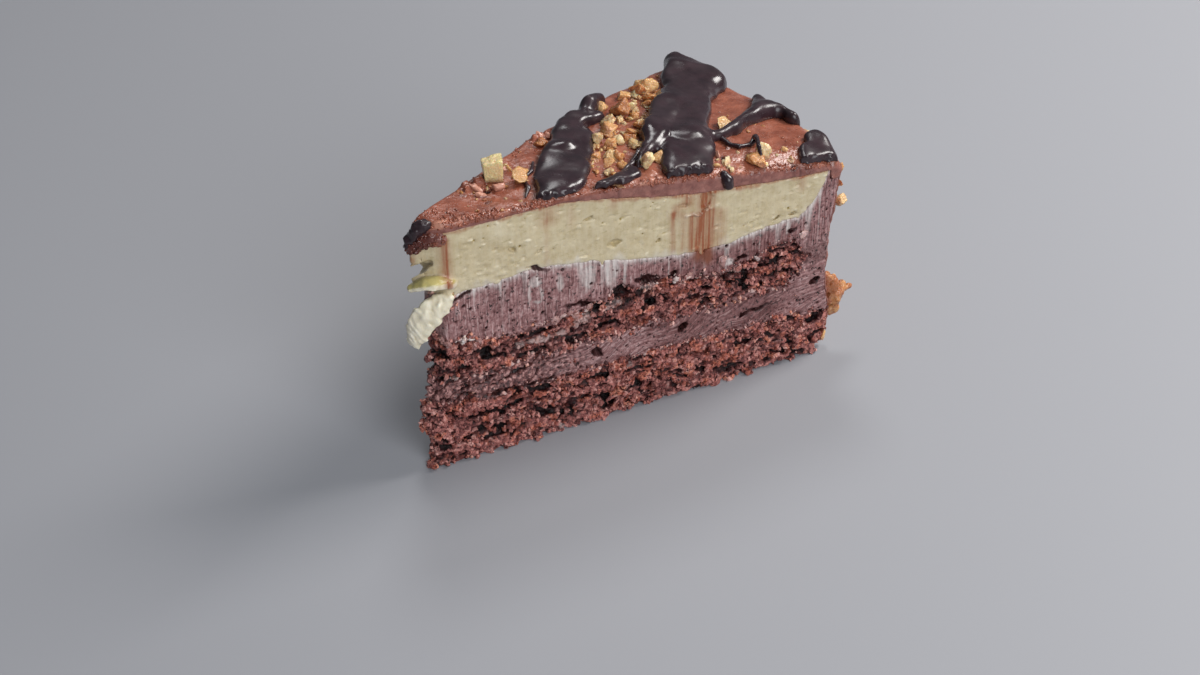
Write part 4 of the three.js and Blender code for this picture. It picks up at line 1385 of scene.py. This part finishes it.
def mousse_crumbs(piece):
    """Crumbs in the mousse: round the sponge disc, over the base and a few in the torn stretch, some with a
    gleam of cream."""
    x, y, z = mesh_corners(piece).T
    depth = read_paint(piece, "depth")
    near_disc = 1 - ramp(disc_shape(x, y, z), 0.2, 3.6)
    near_base = 1 - ramp(z - base_top(x, y), 0.2, 2.5)
    foot = (1 - ramp(along_cut(x, y), 15, 19)) * ramp(z, 46, 49)
    torn = torn_mousse(x, y, z) * ramp(noise(x / 3, y / 3, z / 1.6, 101), 0.1, 0.5)
    chance = near_disc**2 + near_base**2 + 0.3 * torn + 0.8 * foot + 0.008
    chance = chance * ramp(outside_cuts(x, y, z), -2.8, -1.6) * (0.1 + depth)
    made, own, home = scattered("mousse_crumbs", piece, chance, MOUSSE_CRUMBS, (0.3, 1.2), 23)
    white = 0.8 * (own > 0.86) * (y[home] < 0)
    smear = np.maximum(0.8 * read_paint(piece, "smear")[home], white)
    # depth: painted shade, darker for crumbs that sit in recesses
    paint(made, depth=0.2 + 0.8 * depth[home], tone=ramp(own, 0.15, 0.9), smear=smear)
    return made


def cream_bits(piece):
    """Flattened bits of cream, with some chocolate in them, that the knife has left along the sponge disc."""
    x, y, z = mesh_corners(piece).T
    dragged = (read_paint(piece, "smear") > 0.3) * milky(x, y, z) ** 2 * (z < 41)
    near_disc = (1 - ramp(disc_top(x, y) - z, 0.2, 2.4)) * (z < disc_top(x, y) + 1.6) * (z > 24)
    face = ramp(outside_cuts(x, y, z), -1.8, -1.0) * (y < 0)
    patches = ramp(noise(x / 5, y / 5, z / 3, 102), 0.1, 0.45)
    chance = dragged + 0.6 * near_disc * face * patches
    form = dict(level=3, proud=0.02, flat=0.6)
    made, own, _ = scattered("cream_bits", piece, chance, CREAM_BITS, (0.6, 2.8), 37, **form)
    made.data.shade_smooth()
    paint(made, tone=own)
    return made


def icing_grains(piece):
    """Wet grains of icing along the near edge of the top and over the torn tip."""
    x, y, z = mesh_corners(piece).T
    inside = behind_cut(x, y)
    top = z > icing_dome(x, y) - 1.4
    edge = top * (1 - ramp(inside, 0.3, 1.8)) * (0.15 + ramp(noise(x / 6, y / 6, 0, 95), -0.2, 0.4))
    tip = 0.15 * (1 - ramp(tip_chunk(x, y, z), 0.1, 0.6)) * (x < 22)
    patches = 0.05 * top * ramp(noise(x / 7, y / 7, 0, 96), 0.1, 0.6)
    shown = (outside_cuts(x, y, z) > -8 - 20 * top) * (np.hypot(x, y) < CAKE_RADIUS - 2)
    chance = (edge + tip + patches) * shown
    form = dict(level=2, proud=0.0, flat=0.2)
    made, own, home = scattered("icing_grains", piece, chance, ICING_GRAINS, (0.25, 0.9), 29, **form)
    made.data.shade_smooth()
    paint(made, cut=0 * own, wet=read_paint(piece, "wet")[home], depth=0.75 + own)
    return made


def icing_shards():
    """Flakes of icing knocked up round the block of nut."""
    random = np.random.default_rng(31)
    parts = []
    for x, y, size, share in ICING_SHARDS:
        made = nut_chunk(random, size, 3, 8, (1.3, 0.9, share), 0.8)
        corners, faces, _, tone, sunk = seated(made, x, y, size, random.uniform())
        parts.append([corners, faces, tone, sunk])
    corners, faces, (tone, sunk) = gather(parts)
    piece = new_object("icing_shards", corners, faces)
    # crest is a painted highlight on the flakes' proud parts, and depth a painted shade where they sit in the
    # icing
    paint(piece, cut=0.3 * tone, wet=0 * tone, depth=1 - 0.7 * sunk, crest=0.9 * (1 - sunk))
    return piece


# Materials, with colours as 0 to 255 on a screen

WHITE = (255, 255, 255)


def srgb(red, green, blue):
    """A colour given as 0 to 255 on a screen, as the light that the shaders work in."""
    def linear(level):
        level = level / 255
        return level / 12.92 if level <= 0.04045 else ((level + 0.055) / 1.055) ** 2.4
    return (linear(red), linear(green), linear(blue))


class Finish:
    """A procedural material, put together from named nodes."""

    def __init__(self, name):
        self.material = bpy.data.materials.new(name)
        self.material.use_nodes = True
        self.nodes = self.material.node_tree.nodes
        self.links = self.material.node_tree.links
        self.shader = self.nodes["Principled BSDF"]

    def node(self, kind, inputs=None, **settings):
        made = self.nodes.new(kind)
        for key, value in settings.items():
            setattr(made, key, value)
        for key, value in (inputs or {}).items():
            self.feed(made.inputs[key], value)
        return made

    def feed(self, socket, value):
        if isinstance(value, bpy.types.NodeSocket):
            self.links.new(value, socket)
        elif socket.type == "RGBA":
            socket.default_value = (*srgb(*value), 1)
        else:
            socket.default_value = value

    def place(self, scale):
        """Position in the row frame, in units of 1 / scale metres."""
        coordinates = self.node("ShaderNodeTexCoord").outputs["Object"]
        mapping = self.node("ShaderNodeMapping", {"Vector": coordinates})
        mapping.inputs["Scale"].default_value = scale if isinstance(scale, tuple) else (scale,) * 3
        return mapping.outputs["Vector"]

    def noise(self, scale, detail=4.0, roughness=0.6):
        return self.noise_at(self.place(scale), detail, roughness)

    def noise_at(self, vector, detail=4.0, roughness=0.6):
        inputs = {"Vector": vector, "Scale": 1.0, "Detail": detail, "Roughness": roughness}
        return self.node("ShaderNodeTexNoise", inputs).outputs["Fac"]

    def strokes(self, across, along, detail=3.0):
        """Noise drawn out along the knife's strokes, read from the painted places across and along them."""
        x = self.times(self.value("across"), across)
        y = self.times(self.value("run"), along)
        return self.noise_at(self.node("ShaderNodeCombineXYZ", {"X": x, "Y": y}).outputs[0], detail)

    def value(self, name):
        return self.node("ShaderNodeAttribute", attribute_name=name).outputs["Fac"]

    def times(self, a, b):
        return self.node("ShaderNodeMath", {0: a, 1: b}, operation="MULTIPLY").outputs[0]

    def plus(self, a, b):
        return self.node("ShaderNodeMath", {0: a, 1: b}, operation="ADD").outputs[0]

    def range(self, value, low, high, to_low=0.0, to_high=1.0):
        inputs = {"Value": value, "From Min": low, "From Max": high, "To Min": to_low, "To Max": to_high}
        return self.node("ShaderNodeMapRange", inputs, interpolation_type="SMOOTHSTEP").outputs["Result"]

    def mix(self, fac, a, b, blend="MIX"):
        made = self.node("ShaderNodeMix", data_type="RGBA", blend_type=blend)
        self.feed(made.inputs[0], fac)
        self.feed(made.inputs[6], a)
        self.feed(made.inputs[7], b)
        return made.outputs[2]

    def ramp(self, fac, *stops):
        made = self.node("ShaderNodeValToRGB", {"Fac": fac})
        elements = made.color_ramp.elements
        while len(elements) < len(stops):
            elements.new(0.5)
        for element, (position, color) in zip(elements, stops):
            element.position = position
            element.color = (*srgb(*color), 1)
        return made.outputs["Color"]

    def bump(self, height, distance, strength=1.0):
        made = self.node("ShaderNodeBump", {"Height": height, "Distance": distance, "Strength": strength})
        self.links.new(made.outputs["Normal"], self.shader.inputs["Normal"])

    def set(self, **values):
        names = dict(
            color="Base Color",
            roughness="Roughness",
            specular="Specular IOR Level",
            subsurface="Subsurface Weight",
            radius="Subsurface Radius",
            scale="Subsurface Scale",
            coat="Coat Weight",
            coat_roughness="Coat Roughness",
            sheen="Sheen Weight",
        )
        for key, value in values.items():
            self.feed(self.shader.inputs[names[key]], value)


def sponge_finish():
    """Chocolate sponge: reddish crumbs, some more orange; painted shade in the crevices and in small dark
    pores between the crumbs.
    """
    finish = Finish("chocolate_sponge")
    grain = finish.noise(1700, 3, 0.7)
    tone = finish.plus(finish.times(finish.value("tone"), 0.6), finish.times(grain, 0.5))
    color = finish.ramp(
        tone,
        (0.2, (56, 25, 27)),
        (0.42, (126, 71, 68)),
        (0.62, (190, 121, 112)),
        (0.85, (246, 194, 182)),
    )
    orange = finish.range(finish.noise(340, 3), 0.5, 0.6, 0.0, 0.8)
    color = finish.mix(orange, color, (255, 218, 184), "MULTIPLY")
    # painted shade: darker where the crumb stands back in crevices and further in from the cut faces
    shade = finish.ramp(
        finish.value("depth"), (0.0, (34, 14, 21)), (0.35, (104, 74, 82)), (0.75, WHITE)
    )
    # painted shade of small pores: dark spots that have no shape of their own
    pores = finish.ramp(finish.noise(1300, 2), (0.34, (66, 36, 42)), (0.43, WHITE))
    color = finish.mix(1.0, finish.mix(1.0, color, shade, "MULTIPLY"), pores, "MULTIPLY")
    streak = finish.range(finish.noise(700, 3), 0.35, 0.6, 0.3, 1.0)
    smear = finish.times(finish.value("smear"), streak)
    color = finish.mix(smear, color, (216, 188, 182))
    finish.set(color=color, roughness=0.42, specular=0.35)
    finish.bump(finish.noise(1900, 3), 0.0006, 0.8)
    return finish.material


def cream_bit_finish():
    """White cream with some chocolate worked into it."""
    finish = Finish("smeared_cream")
    color = finish.ramp(
        finish.value("tone"), (0.1, (164, 118, 112)), (0.5, (212, 172, 165)), (0.9, (240, 222, 213))
    )
    color = finish.mix(finish.range(finish.noise(500, 3), 0.4, 0.6, 0.0, 0.6), color, (150, 106, 104))
    finish.set(color=color, roughness=0.3, subsurface=0.2, radius=(1.0, 0.8, 0.5), scale=0.001)
    finish.bump(finish.noise(900, 3), 0.0006, 0.8)
    return finish.material


def mousse_finish():
    """Chocolate mousse: satin, with knife strokes, dragged cream and pinholes; painted sheen on the strokes'
    ridges, painted shade in their furrows, in the pinholes and in recesses.
    """
    finish = Finish("chocolate_mousse")
    strokes = finish.strokes(1.4, 0.09)
    fine = finish.strokes(2.8, 0.2)
    mottle = finish.noise(1000, 3)
    tone = finish.plus(finish.times(strokes, 0.5), finish.times(mottle, 0.5))
    color = finish.ramp(tone, (0.37, (98, 58, 58)), (0.5, (151, 107, 105)), (0.63, (194, 154, 152)))
    # painted sheen: paler along the ridges of the fine strokes, where the bump stands highest
    lines = finish.range(fine, 0.55, 0.67, 0.0, 0.7)
    color = finish.mix(lines, color, (216, 187, 184))
    # painted shade in the low furrows of the fine strokes
    furrow_shade = finish.range(fine, 0.32, 0.43, 0.6, 0.0)
    color = finish.mix(furrow_shade, color, (88, 51, 53))
    grain = finish.ramp(
        finish.noise(1000, 3), (0.36, (48, 25, 27)), (0.5, (122, 77, 74)), (0.66, (218, 164, 156))
    )
    color = finish.mix(finish.value("torn"), color, grain)
    color = finish.mix(finish.value("dark"), color, (212, 193, 191), "MULTIPLY")
    # painted shade of tiny holes: dark dots with no shape of their own
    pinholes = finish.ramp(finish.noise(1100, 1), (0.31, (46, 22, 25)), (0.38, WHITE))
    color = finish.mix(0.9, color, pinholes, "MULTIPLY")
    streak = finish.range(strokes, 0.3, 0.7, 0.3, 1.15)
    smear = finish.times(finish.value("smear"), streak)
    color = finish.mix(smear, color, (226, 217, 211))
    color = finish.mix(finish.value("crumb"), color, (90, 46, 44))
    color = finish.mix(finish.value("stain"), color, (132, 76, 56))
    # painted shade: darker where the mousse stands back and inside the hollows
    shade = finish.ramp(
        finish.value("depth"), (0.0, (34, 15, 19)), (0.5, (176, 153, 154)), (0.75, WHITE)
    )
    finish.set(color=finish.mix(1.0, color, shade, "MULTIPLY"), roughness=0.33, specular=0.45)
    height = finish.plus(finish.times(fine, 0.9), finish.noise(1300, 3))
    finish.bump(height, 0.0004, 0.8)
    return finish.material


def cream_finish():
    """Vanilla cream: pale yellow, faintly see-through, whiter at the foot, with stains; painted greenish
    shade in its pits and hollows and on the flap's upper side, and painted highlights on proud lips and fold
    ridges.
    """
    finish = Finish("vanilla_cream")
    color = finish.ramp(finish.noise((300, 300, 380), 5), (0.3, (190, 172, 134)), (0.7, (215, 200, 166)))
    upright = finish.range(finish.noise((900, 900, 70), 3), 0.4, 0.65, 0.0, 0.22)
    color = finish.mix(upright, color, (220, 209, 182))
    dashes = finish.range(finish.noise((520, 520, 1000), 3), 0.58, 0.7, 0.0, 0.45)
    color = finish.mix(dashes, color, (166, 150, 102))
    # on the cream this paler mark is a painted highlight on its proud lips and on the ridges of the curl's
    # folds
    color = finish.mix(finish.value("smear"), color, (246, 238, 214))
    # painted shade: greener and darker on the upward side of the hanging flap
    color = finish.mix(finish.value("olive"), color, (190, 176, 96))
    color = finish.mix(finish.value("foot"), color, (218, 210, 198))
    streak = finish.range(finish.noise((1300, 1300, 60), 3), 0.35, 0.65, 0.62, 1.15)
    stain = finish.times(finish.value("stain"), streak)
    color = finish.mix(stain, color, (154, 88, 54))
    # painted greenish shade: darker where the cream stands back, in hollows and in the curl's grooves
    shade = finish.ramp(
        finish.value("depth"), (0.0, (76, 62, 24)), (0.45, (206, 194, 128)), (0.75, WHITE)
    )
    finish.set(
        color=finish.mix(1.0, color, shade, "MULTIPLY"),
        roughness=0.33,
        subsurface=0.12,
        radius=(1.0, 0.8, 0.5),
        scale=0.0012,
    )
    finish.bump(finish.noise(1100, 3), 0.0003, 0.5)
    return finish.material


def icing_finish(name, smooth, rough):
    """Milk chocolate icing: satin on top, greyer and duller where it is cut, dark and wet at the tip; painted
    glints, a painted highlight on crests along the near cut, painted shade in its pits.
    """
    finish = Finish(name)
    top = finish.ramp(finish.noise(240, 5), (0.3, (116, 59, 43)), (0.7, (161, 94, 72)))
    # painted glints: small pale spots over the top
    specks = finish.range(finish.noise(1300, 2), 0.64, 0.76, 0.0, 0.4)
    top = finish.mix(specks, top, (214, 166, 142))
    # crest: painted highlight on the ripples' crests along the near cut and on the flakes' proud parts
    top = finish.mix(finish.value("crest"), top, (214, 154, 130))
    cut = finish.ramp(finish.noise(400, 5), (0.3, (110, 61, 54)), (0.7, (160, 106, 94)))
    color = finish.mix(finish.value("cut"), top, cut)
    color = finish.mix(finish.value("wet"), color, (84, 36, 28))
    # painted shade in the pits and hollows of the top and at the foot of the flakes
    shade = finish.ramp(finish.value("depth"), (0.0, (112, 66, 64)), (0.6, WHITE))
    color = finish.mix(1.0, color, shade, "MULTIPLY")
    roughness = finish.range(finish.noise(300, 3), 0.3, 0.7, smooth, rough)
    finish.set(color=color, roughness=roughness, specular=0.6)
    finish.bump(finish.noise(700, 3), 0.0006, 0.6)
    return finish.material


def ganache_finish():
    """Dark ganache: set and glossy, in soft folds."""
    finish = Finish("dark_ganache")
    color = finish.ramp(finish.noise(220, 4), (0.3, (36, 23, 28)), (0.7, (56, 39, 44)))
    finish.set(color=color, roughness=finish.range(finish.noise(120, 2), 0.3, 0.7, 0.2, 0.36), specular=0.5)
    finish.bump(finish.noise(160, 2), 0.0008, 0.25)
    return finish.material


def nut_finish():
    """Chopped hazelnut: pale waxy flesh, amber where thin, scraps of brown skin, icing round its foot."""
    finish = Finish("chopped_hazelnut")
    own = finish.times(finish.value("tone"), 0.75)
    tone = finish.plus(own, finish.times(finish.noise(500), 0.28))
    flesh = finish.ramp(
        tone,
        (0.15, (166, 102, 64)),
        (0.38, (198, 142, 90)),
        (0.6, (213, 170, 118)),
        (0.8, (226, 200, 156)),
        (1.0, (240, 222, 160)),
    )
    skin = finish.ramp(finish.noise(900), (0.3, (124, 72, 44)), (0.7, (176, 112, 72)))
    patch = finish.range(finish.noise(350, 2), 0.48, 0.6, 0.0, 0.75)
    color = finish.mix(finish.times(finish.value("skin"), patch), flesh, skin)
    color = finish.mix(finish.times(finish.value("sunk"), 0.65), color, (158, 94, 72))
    finish.set(color=color, roughness=0.26, subsurface=0.4, radius=(1.0, 0.65, 0.35), scale=0.0025)
    finish.bump(finish.noise(900, 4), 0.0007, 0.9)
    return finish.material


# Colour masks

# White cream dragged over mousse and sponge on the near cut:
# [distance from the axis, height, half length, half height, tilt in degrees, strength]
MILKY = [
    [38.8, 50.2, 1.9, 2.2, 0, 0.85],
    [37.3, 46.6, 0.55, 3.2, 0, 0.55],
    [40.4, 45.8, 0.55, 2.8, 0, 0.6],
    [39.4, 43.6, 1.3, 0.6, 0, 0.7],
    [53.5, 47.2, 2.4, 5.0, 0, 0.8],
    [60.0, 46.8, 2.8, 5.0, 0, 0.75],
    [45.8, 47.5, 0.9, 3.0, 0, 0.6],
    [112.0, 45.0, 0.8, 2.8, 0, 0.9],
    [108.8, 46.2, 0.5, 2.2, 0, 0.7],
    [51.5, 34.2, 3.6, 1.7, 10, 0.75],
    [40.0, 31.6, 3.8, 1.0, -8, 0.8],
    [46.0, 31.4, 2.0, 0.9, 0, 0.7],
    [60.5, 35.7, 3.4, 1.3, 10, 0.7],
    [70.5, 38.4, 2.8, 1.2, 0, 0.8],
    [94.0, 39.4, 3.2, 1.3, -25, 0.85],
    [99.0, 35.6, 4.5, 0.7, -8, 0.4],
    [16.4, 26.4, 1.3, 0.9, 0, 0.5],
    [34.6, 31.4, 1.2, 1.2, 0, 0.7],
    [45.6, 1.2, 1.4, 0.7, 0, 0.8],
    [22.0, 36.5, 1.0, 0.8, 0, 0.5],
    [65.5, 14.6, 1.2, 0.5, 0, 0.5],
    [88.5, 16.4, 1.6, 0.4, 0, 0.5],
]

# Brown drawn down over the cream by the knife: [distance from the axis, lowest, highest, width, strength]
BROWN_STREAKS = [
    [15.5, 56.0, 70.0, 1.3, 0.95],
    [77.6, 47.5, 60.0, 0.9, 0.6],
    [80.3, 47.0, 59.0, 0.9, 0.5],
    [82.8, 46.5, 58.5, 1.1, 0.6],
    [85.3, 43.0, 58.0, 1.9, 1.1],
    [88.1, 41.0, 58.0, 1.7, 1.1],
    [90.9, 45.0, 57.5, 1.1, 0.45],
    [92.6, 46.0, 57.0, 0.8, 0.3],
    [86.8, 58.4, 66.0, 2.6, 1.2],
    [81.3, 60.5, 66.0, 1.8, 0.8],
    [78.6, 58.0, 62.0, 1.8, 0.45],
    [42.9, 66.0, 73.0, 2.6, 0.45],
    [42.2, 54.0, 68.0, 0.8, 0.2],
    [49.0, 64.0, 72.0, 1.2, 0.2],
    [115.4, 56.0, 63.0, 1.4, 0.35],
    [96.0, 62.0, 66.0, 1.2, 0.4],
    [60.6, 66.0, 70.0, 1.4, 0.4],
]


def milky(x, y, z):
    """Dragged cream on the near cut, from 0 to 1."""
    along = along_cut(x, y)
    warp_a = along + 0.5 * noise(along / 1.3, z / 1.3, 0, 84)
    warp_z = z + 0.5 * noise(along / 1.3, z / 1.3, 0, 85)
    most = np.zeros(len(x))
    for place, height, half_length, half_height, tilt, strength in MILKY:
        a, b = turned(warp_a - place, warp_z - height, tilt)
        ratio = np.sqrt((a / half_length) ** 2 + (b / half_height) ** 2)
        most = np.maximum(most, strength * (1 - ramp(ratio, 0.55, 1.15)))
    return most * (y < 0) * ramp(outside_cuts(x, y, z), -2.2, -1.2)


def scaled_depth(relief, low, high):
    """How far forward a surface stands: 1 where the relief is low, 0 where it is high."""
    return 1 - (relief - low) / (high - low)


def paint_sponge(piece, shift, sink=0.0):
    """Masks of a sponge layer; depth is painted shade in the crevices, and sink darkens that painted shade,
    as if its crumbs stood deeper.
    """
    x, y, z = mesh_corners(piece).T
    relief = crumb_relief(x, y, z + shift) + sink
    _, _, own = lumps(x / 0.9, y / 0.9, (z + shift) / 0.8, 43)
    clump = 0.5 + 0.5 * noise(x / 2.0, y / 2.0, (z + shift) / 1.4, 49)
    below = np.maximum(ramp(outside_cuts(x, y, z), -3.0, -1.0), ramp(sponge_rim(x, y, z), -2.4, -1.2))
    # painted shade: lower where the crumb stands back, and further in from the cut faces and the rim
    depth = scaled_depth(relief, -0.7, 1.6) * (0.2 + 0.8 * below)
    paint(piece, depth=depth, tone=0.65 * own + 0.35 * clump, smear=milky(x, y, z) * 0.9)


def cream_drag(x, y, z):
    """Cream that the knife has dragged down over the mousse in drips and long threads, from 0 to 1."""
    along = along_cut(x, y) + side_seed(y)
    below = np.maximum(cream_floor(x, y) - z, 0)
    uneven = ramp(noise(along / 7, 0, 0, 82), -0.3, 0.6)
    drip = ramp(noise(along / 0.9, 0, 0, 81), 0.25, 0.85) * (0.4 + uneven)
    reach = 1.0 + 7.5 * drip
    thread = 0.6 * ramp(noise(along / 0.42, z / 24, 0, 105), 0.3, 0.6)
    thread = thread * (1 - ramp(below, 3, 11)) * (0.2 + uneven)
    return np.maximum(0.95 * np.exp(-((below / reach) ** 1.4)), thread) * ramp(z, 30, 36)


def paint_mousse(piece):
    x, y, z = mesh_corners(piece).T
    along = along_cut(x, y)
    torn = torn_mousse(x, y, z)
    depth = scaled_depth(mousse_relief(x, y, z), -0.1, 1.1 + 0.3 * torn)
    inside = ramp(hollows(x, y, z), -0.5, 0.2)
    face = ramp(outside_cuts(x, y, z) + torn_away(x, y, z), -2.2, -1.2)
    drag = np.maximum(cream_drag(x, y, z) * face, milky(x, y, z))
    near_disc = 1 - ramp(disc_shape(x, y, z), 0.5, 5.5)
    near_base = 1 - ramp(z - base_top(x, y), 0.5, 3.5)
    specks = ramp(noise(x / 0.9, y / 0.9, z / 0.8, 86), 0.25, 0.5)
    crumb = specks * np.maximum(near_disc, near_base) * face
    dark = ramp(along, 64, 84) * (1 - 0.6 * ramp(along, 108, 118))
    dark = dark * (0.75 + 0.25 * noise(along / 6, z / 6, 0, 90))
    across, run = knife_lines(x, y, z)
    # depth: painted shade, lower where the mousse stands back and lowest inside the hollows
    paint(piece, depth=depth * (1 - 0.85 * inside), smear=drag, crumb=0.8 * crumb, stain=cream_stain(x, y, z))
    paint(piece, torn=0.85 * torn, dark=dark)
    store(piece, across=across, run=run)


def cream_stain(x, y, z):
    """Brown on the cream, from 0 to 1: streaks on the near cut, a fringe at the icing, a run at the tip."""
    r = along_cut(x, y)
    total = np.zeros(len(x))
    for place, low, high, width, strength in BROWN_STREAKS:
        across = np.exp(-(((r - place + 0.2 * noise(z / 3, 0, 0, 87)) / width) ** 2))
        total += strength * across * ramp(z, low - 2, low + 1) * (1 - ramp(z, high - 1, high + 0.5))
    fringe = 0.9 + 0.9 * noise(r / 1.8, 0, 0, 88) + 0.9 * noise(r / 7, 0, 0, 89)
    total += 0.7 * (1 - ramp(cream_top(x, y) - z, 0.2 * fringe, np.maximum(fringe, 0.3)))
    near_cut = np.clip(total, 0, 1) * (y < 0) * ramp(outside_cuts(x, y, z), -2.5, -1.5)
    tip_run = np.exp(-(((x - 9.6 - 0.7 * noise(z / 2.2, 0, 0, 115)) / 1.0) ** 2)) * ramp(z, 60.5, 64.5)
    patches = ramp(noise(x / 2, y / 2, z / 2, 116), -0.5, 0.2)
    return np.maximum(near_cut, tip_run * patches * (outside_cuts(x, y, z) > -1.5))


def paint_cream(piece):
    x, y, z = mesh_corners(piece).T
    relief = cream_relief(x, y, z)
    outside = outside_cuts(x, y, z)
    loose = ramp(outside, 0.2, 0.8) * (x < 24)
    depth = scaled_depth(relief, 0.15, 1.0)
    inside = ramp(hollows(x, y, z), -0.4, 0.3)
    _, place = strip(x, y, z, **CREAM_CURL)
    flap, _ = strip(x, y, z, **CREAM_FLAP)
    folds = curl_ridges(x, y, z, place)
    # depth: painted shade, lower in pits and hollows and in the grooves of the curl's folds
    depth = depth * (1 - 0.6 * inside) * (1 - loose) + loose * (0.9 - 0.7 * folds)
    # bright: painted highlight on proud lips of the cut and on the ridges of the curl's folds
    bright = 0.7 * ramp(relief, -0.1, -0.5) * (1 - loose) + loose * (0.7 - folds)
    # painted shade on the upward-facing side of the hanging flap
    olive = 0.85 * loose * (1 - ramp(flap, 0.3, 0.9)) * ramp(mesh_normals(piece)[:, 2], 0.1, 0.5)
    rise = z - cream_floor(x, y) + 1.6 * noise(along_cut(x, y) / 1.3, z / 8, 0, 97)
    broken = ramp(noise(along_cut(x, y) / 3, 0, 0, 104), -0.1, 0.5)
    broken = broken * (1 - 0.7 * ramp(along_cut(x, y), 90, 104))
    foot = broken * (1 - ramp(rise, 0.2, 2.6)) * ramp(outside, -2.5, -1.5) * (z > 36)
    paint(piece, depth=depth, smear=bright, olive=olive, stain=cream_stain(x, y, z), foot=0.55 * foot)


def paint_icing(piece):
    x, y, z = mesh_corners(piece).T
    r = np.hypot(x, y)
    below = np.minimum(icing_dome(x, y) - z, 9)
    cut = ramp(outside_cuts(x, y, z), -1.3, -0.7) * ramp(below, 0.7, 1.6) * (r < wall_radius(z) - 0.7)
    wet = (1 - ramp(tip_chunk(x, y, z), 0.1, 0.6)) * (1 - 0.85 * ramp(x, 11.0, 13.6))
    ripple = icing_ripple(x, y)
    # crest: painted highlight on the ripples' crests near the cut
    crest = 0.6 * ramp(ripple, 0.12, 0.45) * (1 - ramp(behind_cut(x, y), 1.0, 4.2))
    crest = crest * (below < 1.2) * (1 - wet)
    # depth: painted shade in the ripples' hollows and pits
    depth = 1 - ramp(-ripple, 0.2, 0.7)
    paint(piece, cut=cut, wet=0.9 * wet, depth=depth, crest=crest)


# Stage

CAMERA_PLACE = (-203.2, -312.6, 324.0)
CAMERA_AIM = (0.5228, 0.6034, -0.6022)
CAMERA_LENS = 57.0


def stage_floor():
    bpy.ops.mesh.primitive_plane_add(size=6)
    floor = bpy.context.object
    floor.name = "floor"
    finish = Finish("pale_floor")
    finish.set(color=(151, 152, 157), roughness=0.6)
    floor.data.materials.append(finish.material)


def add_camera():
    data = bpy.data.cameras.new("camera")
    data.lens = CAMERA_LENS
    data.sensor_width = 36
    camera = bpy.data.objects.new("camera", data)
    camera.location = to_frame([CAMERA_PLACE])[0]
    camera.rotation_euler = Vector(CAMERA_AIM).to_track_quat("-Z", "Y").to_euler()
    bpy.context.collection.objects.link(camera)
    bpy.context.scene.camera = camera


def add_area(name, place, size, power, color):
    data = bpy.data.lights.new(name, "AREA")
    data.shape = "DISK"
    data.size = size
    data.energy = power
    data.color = color
    light = bpy.data.objects.new(name, data)
    light.location = place
    light.rotation_euler = (Vector((0, 0, 0.04)) - Vector(place)).to_track_quat("-Z", "Y").to_euler()
    bpy.context.collection.objects.link(light)


def add_lights():
    add_area("key", (0.70, -0.16, 0.68), 0.42, 8.7, (1.0, 0.97, 0.94))
    add_area("fill", (-0.15, -1.0, 0.62), 0.9, 9.8, (0.95, 0.97, 1.0))
    add_area("back", (0.32, 0.44, 0.86), 0.3, 2.1, (1.0, 1.0, 1.0))
    world = bpy.data.worlds.new("soft_room")
    world.use_nodes = True
    background = world.node_tree.nodes["Background"]
    background.inputs["Color"].default_value = (0.83, 0.9, 1.0, 1)
    background.inputs["Strength"].default_value = 0.15
    bpy.context.scene.world = world
    bpy.context.scene.view_settings.view_transform = "Standard"


def dress(piece, material, node):
    piece.data.materials.clear()
    piece.data.materials.append(material)
    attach(piece, "root")
    if node:
        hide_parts(node)


def build_slice():
    sponge, mousse, cream = sponge_finish(), mousse_finish(), cream_finish()
    layers = build_layers()
    paint_sponge(layers["base_sponge"], 0)
    paint_sponge(layers["sponge_disc"], 31, 0.3)
    paint_mousse(layers["chocolate_mousse"])
    paint_cream(layers["vanilla_cream"])
    dress(layers["base_sponge"], sponge, "base_sponge")
    dress(layers["sponge_disc"], sponge, "sponge_disc")
    dress(layers["chocolate_mousse"], mousse, "chocolate_mousse")
    dress(layers["vanilla_cream"], cream, "vanilla_cream")
    dress(sponge_crumbs("base_crumbs", layers["base_sponge"], BASE_CRUMBS, 21), sponge, None)
    dress(sponge_crumbs("disc_crumbs", layers["sponge_disc"], DISC_CRUMBS, 22), sponge, None)
    dress(mousse_crumbs(layers["chocolate_mousse"]), sponge, None)
    dress(cream_bits(layers["chocolate_mousse"]), cream_bit_finish(), None)
    icing = icing_piece()
    paint_icing(icing)
    satin = icing_finish("milk_chocolate_icing", 0.2, 0.38)
    dress(icing, satin, "milk_icing")
    dress(icing_shards(), satin, None)
    dress(icing_grains(icing), icing_finish("wet_icing", 0.08, 0.2), None)
    ganache = ganache_finish()
    for name in (*POURS, "ganache_tip"):
        dress(ganache_piece(name), ganache, name)
    dress(string_pieces(), ganache, None)
    nut = nut_finish()
    dress(nuts_piece(), nut, None)
    dress(rim_nut_piece(), nut, "rim_nut")


add_camera()
add_lights()
stage_floor()
build_slice()
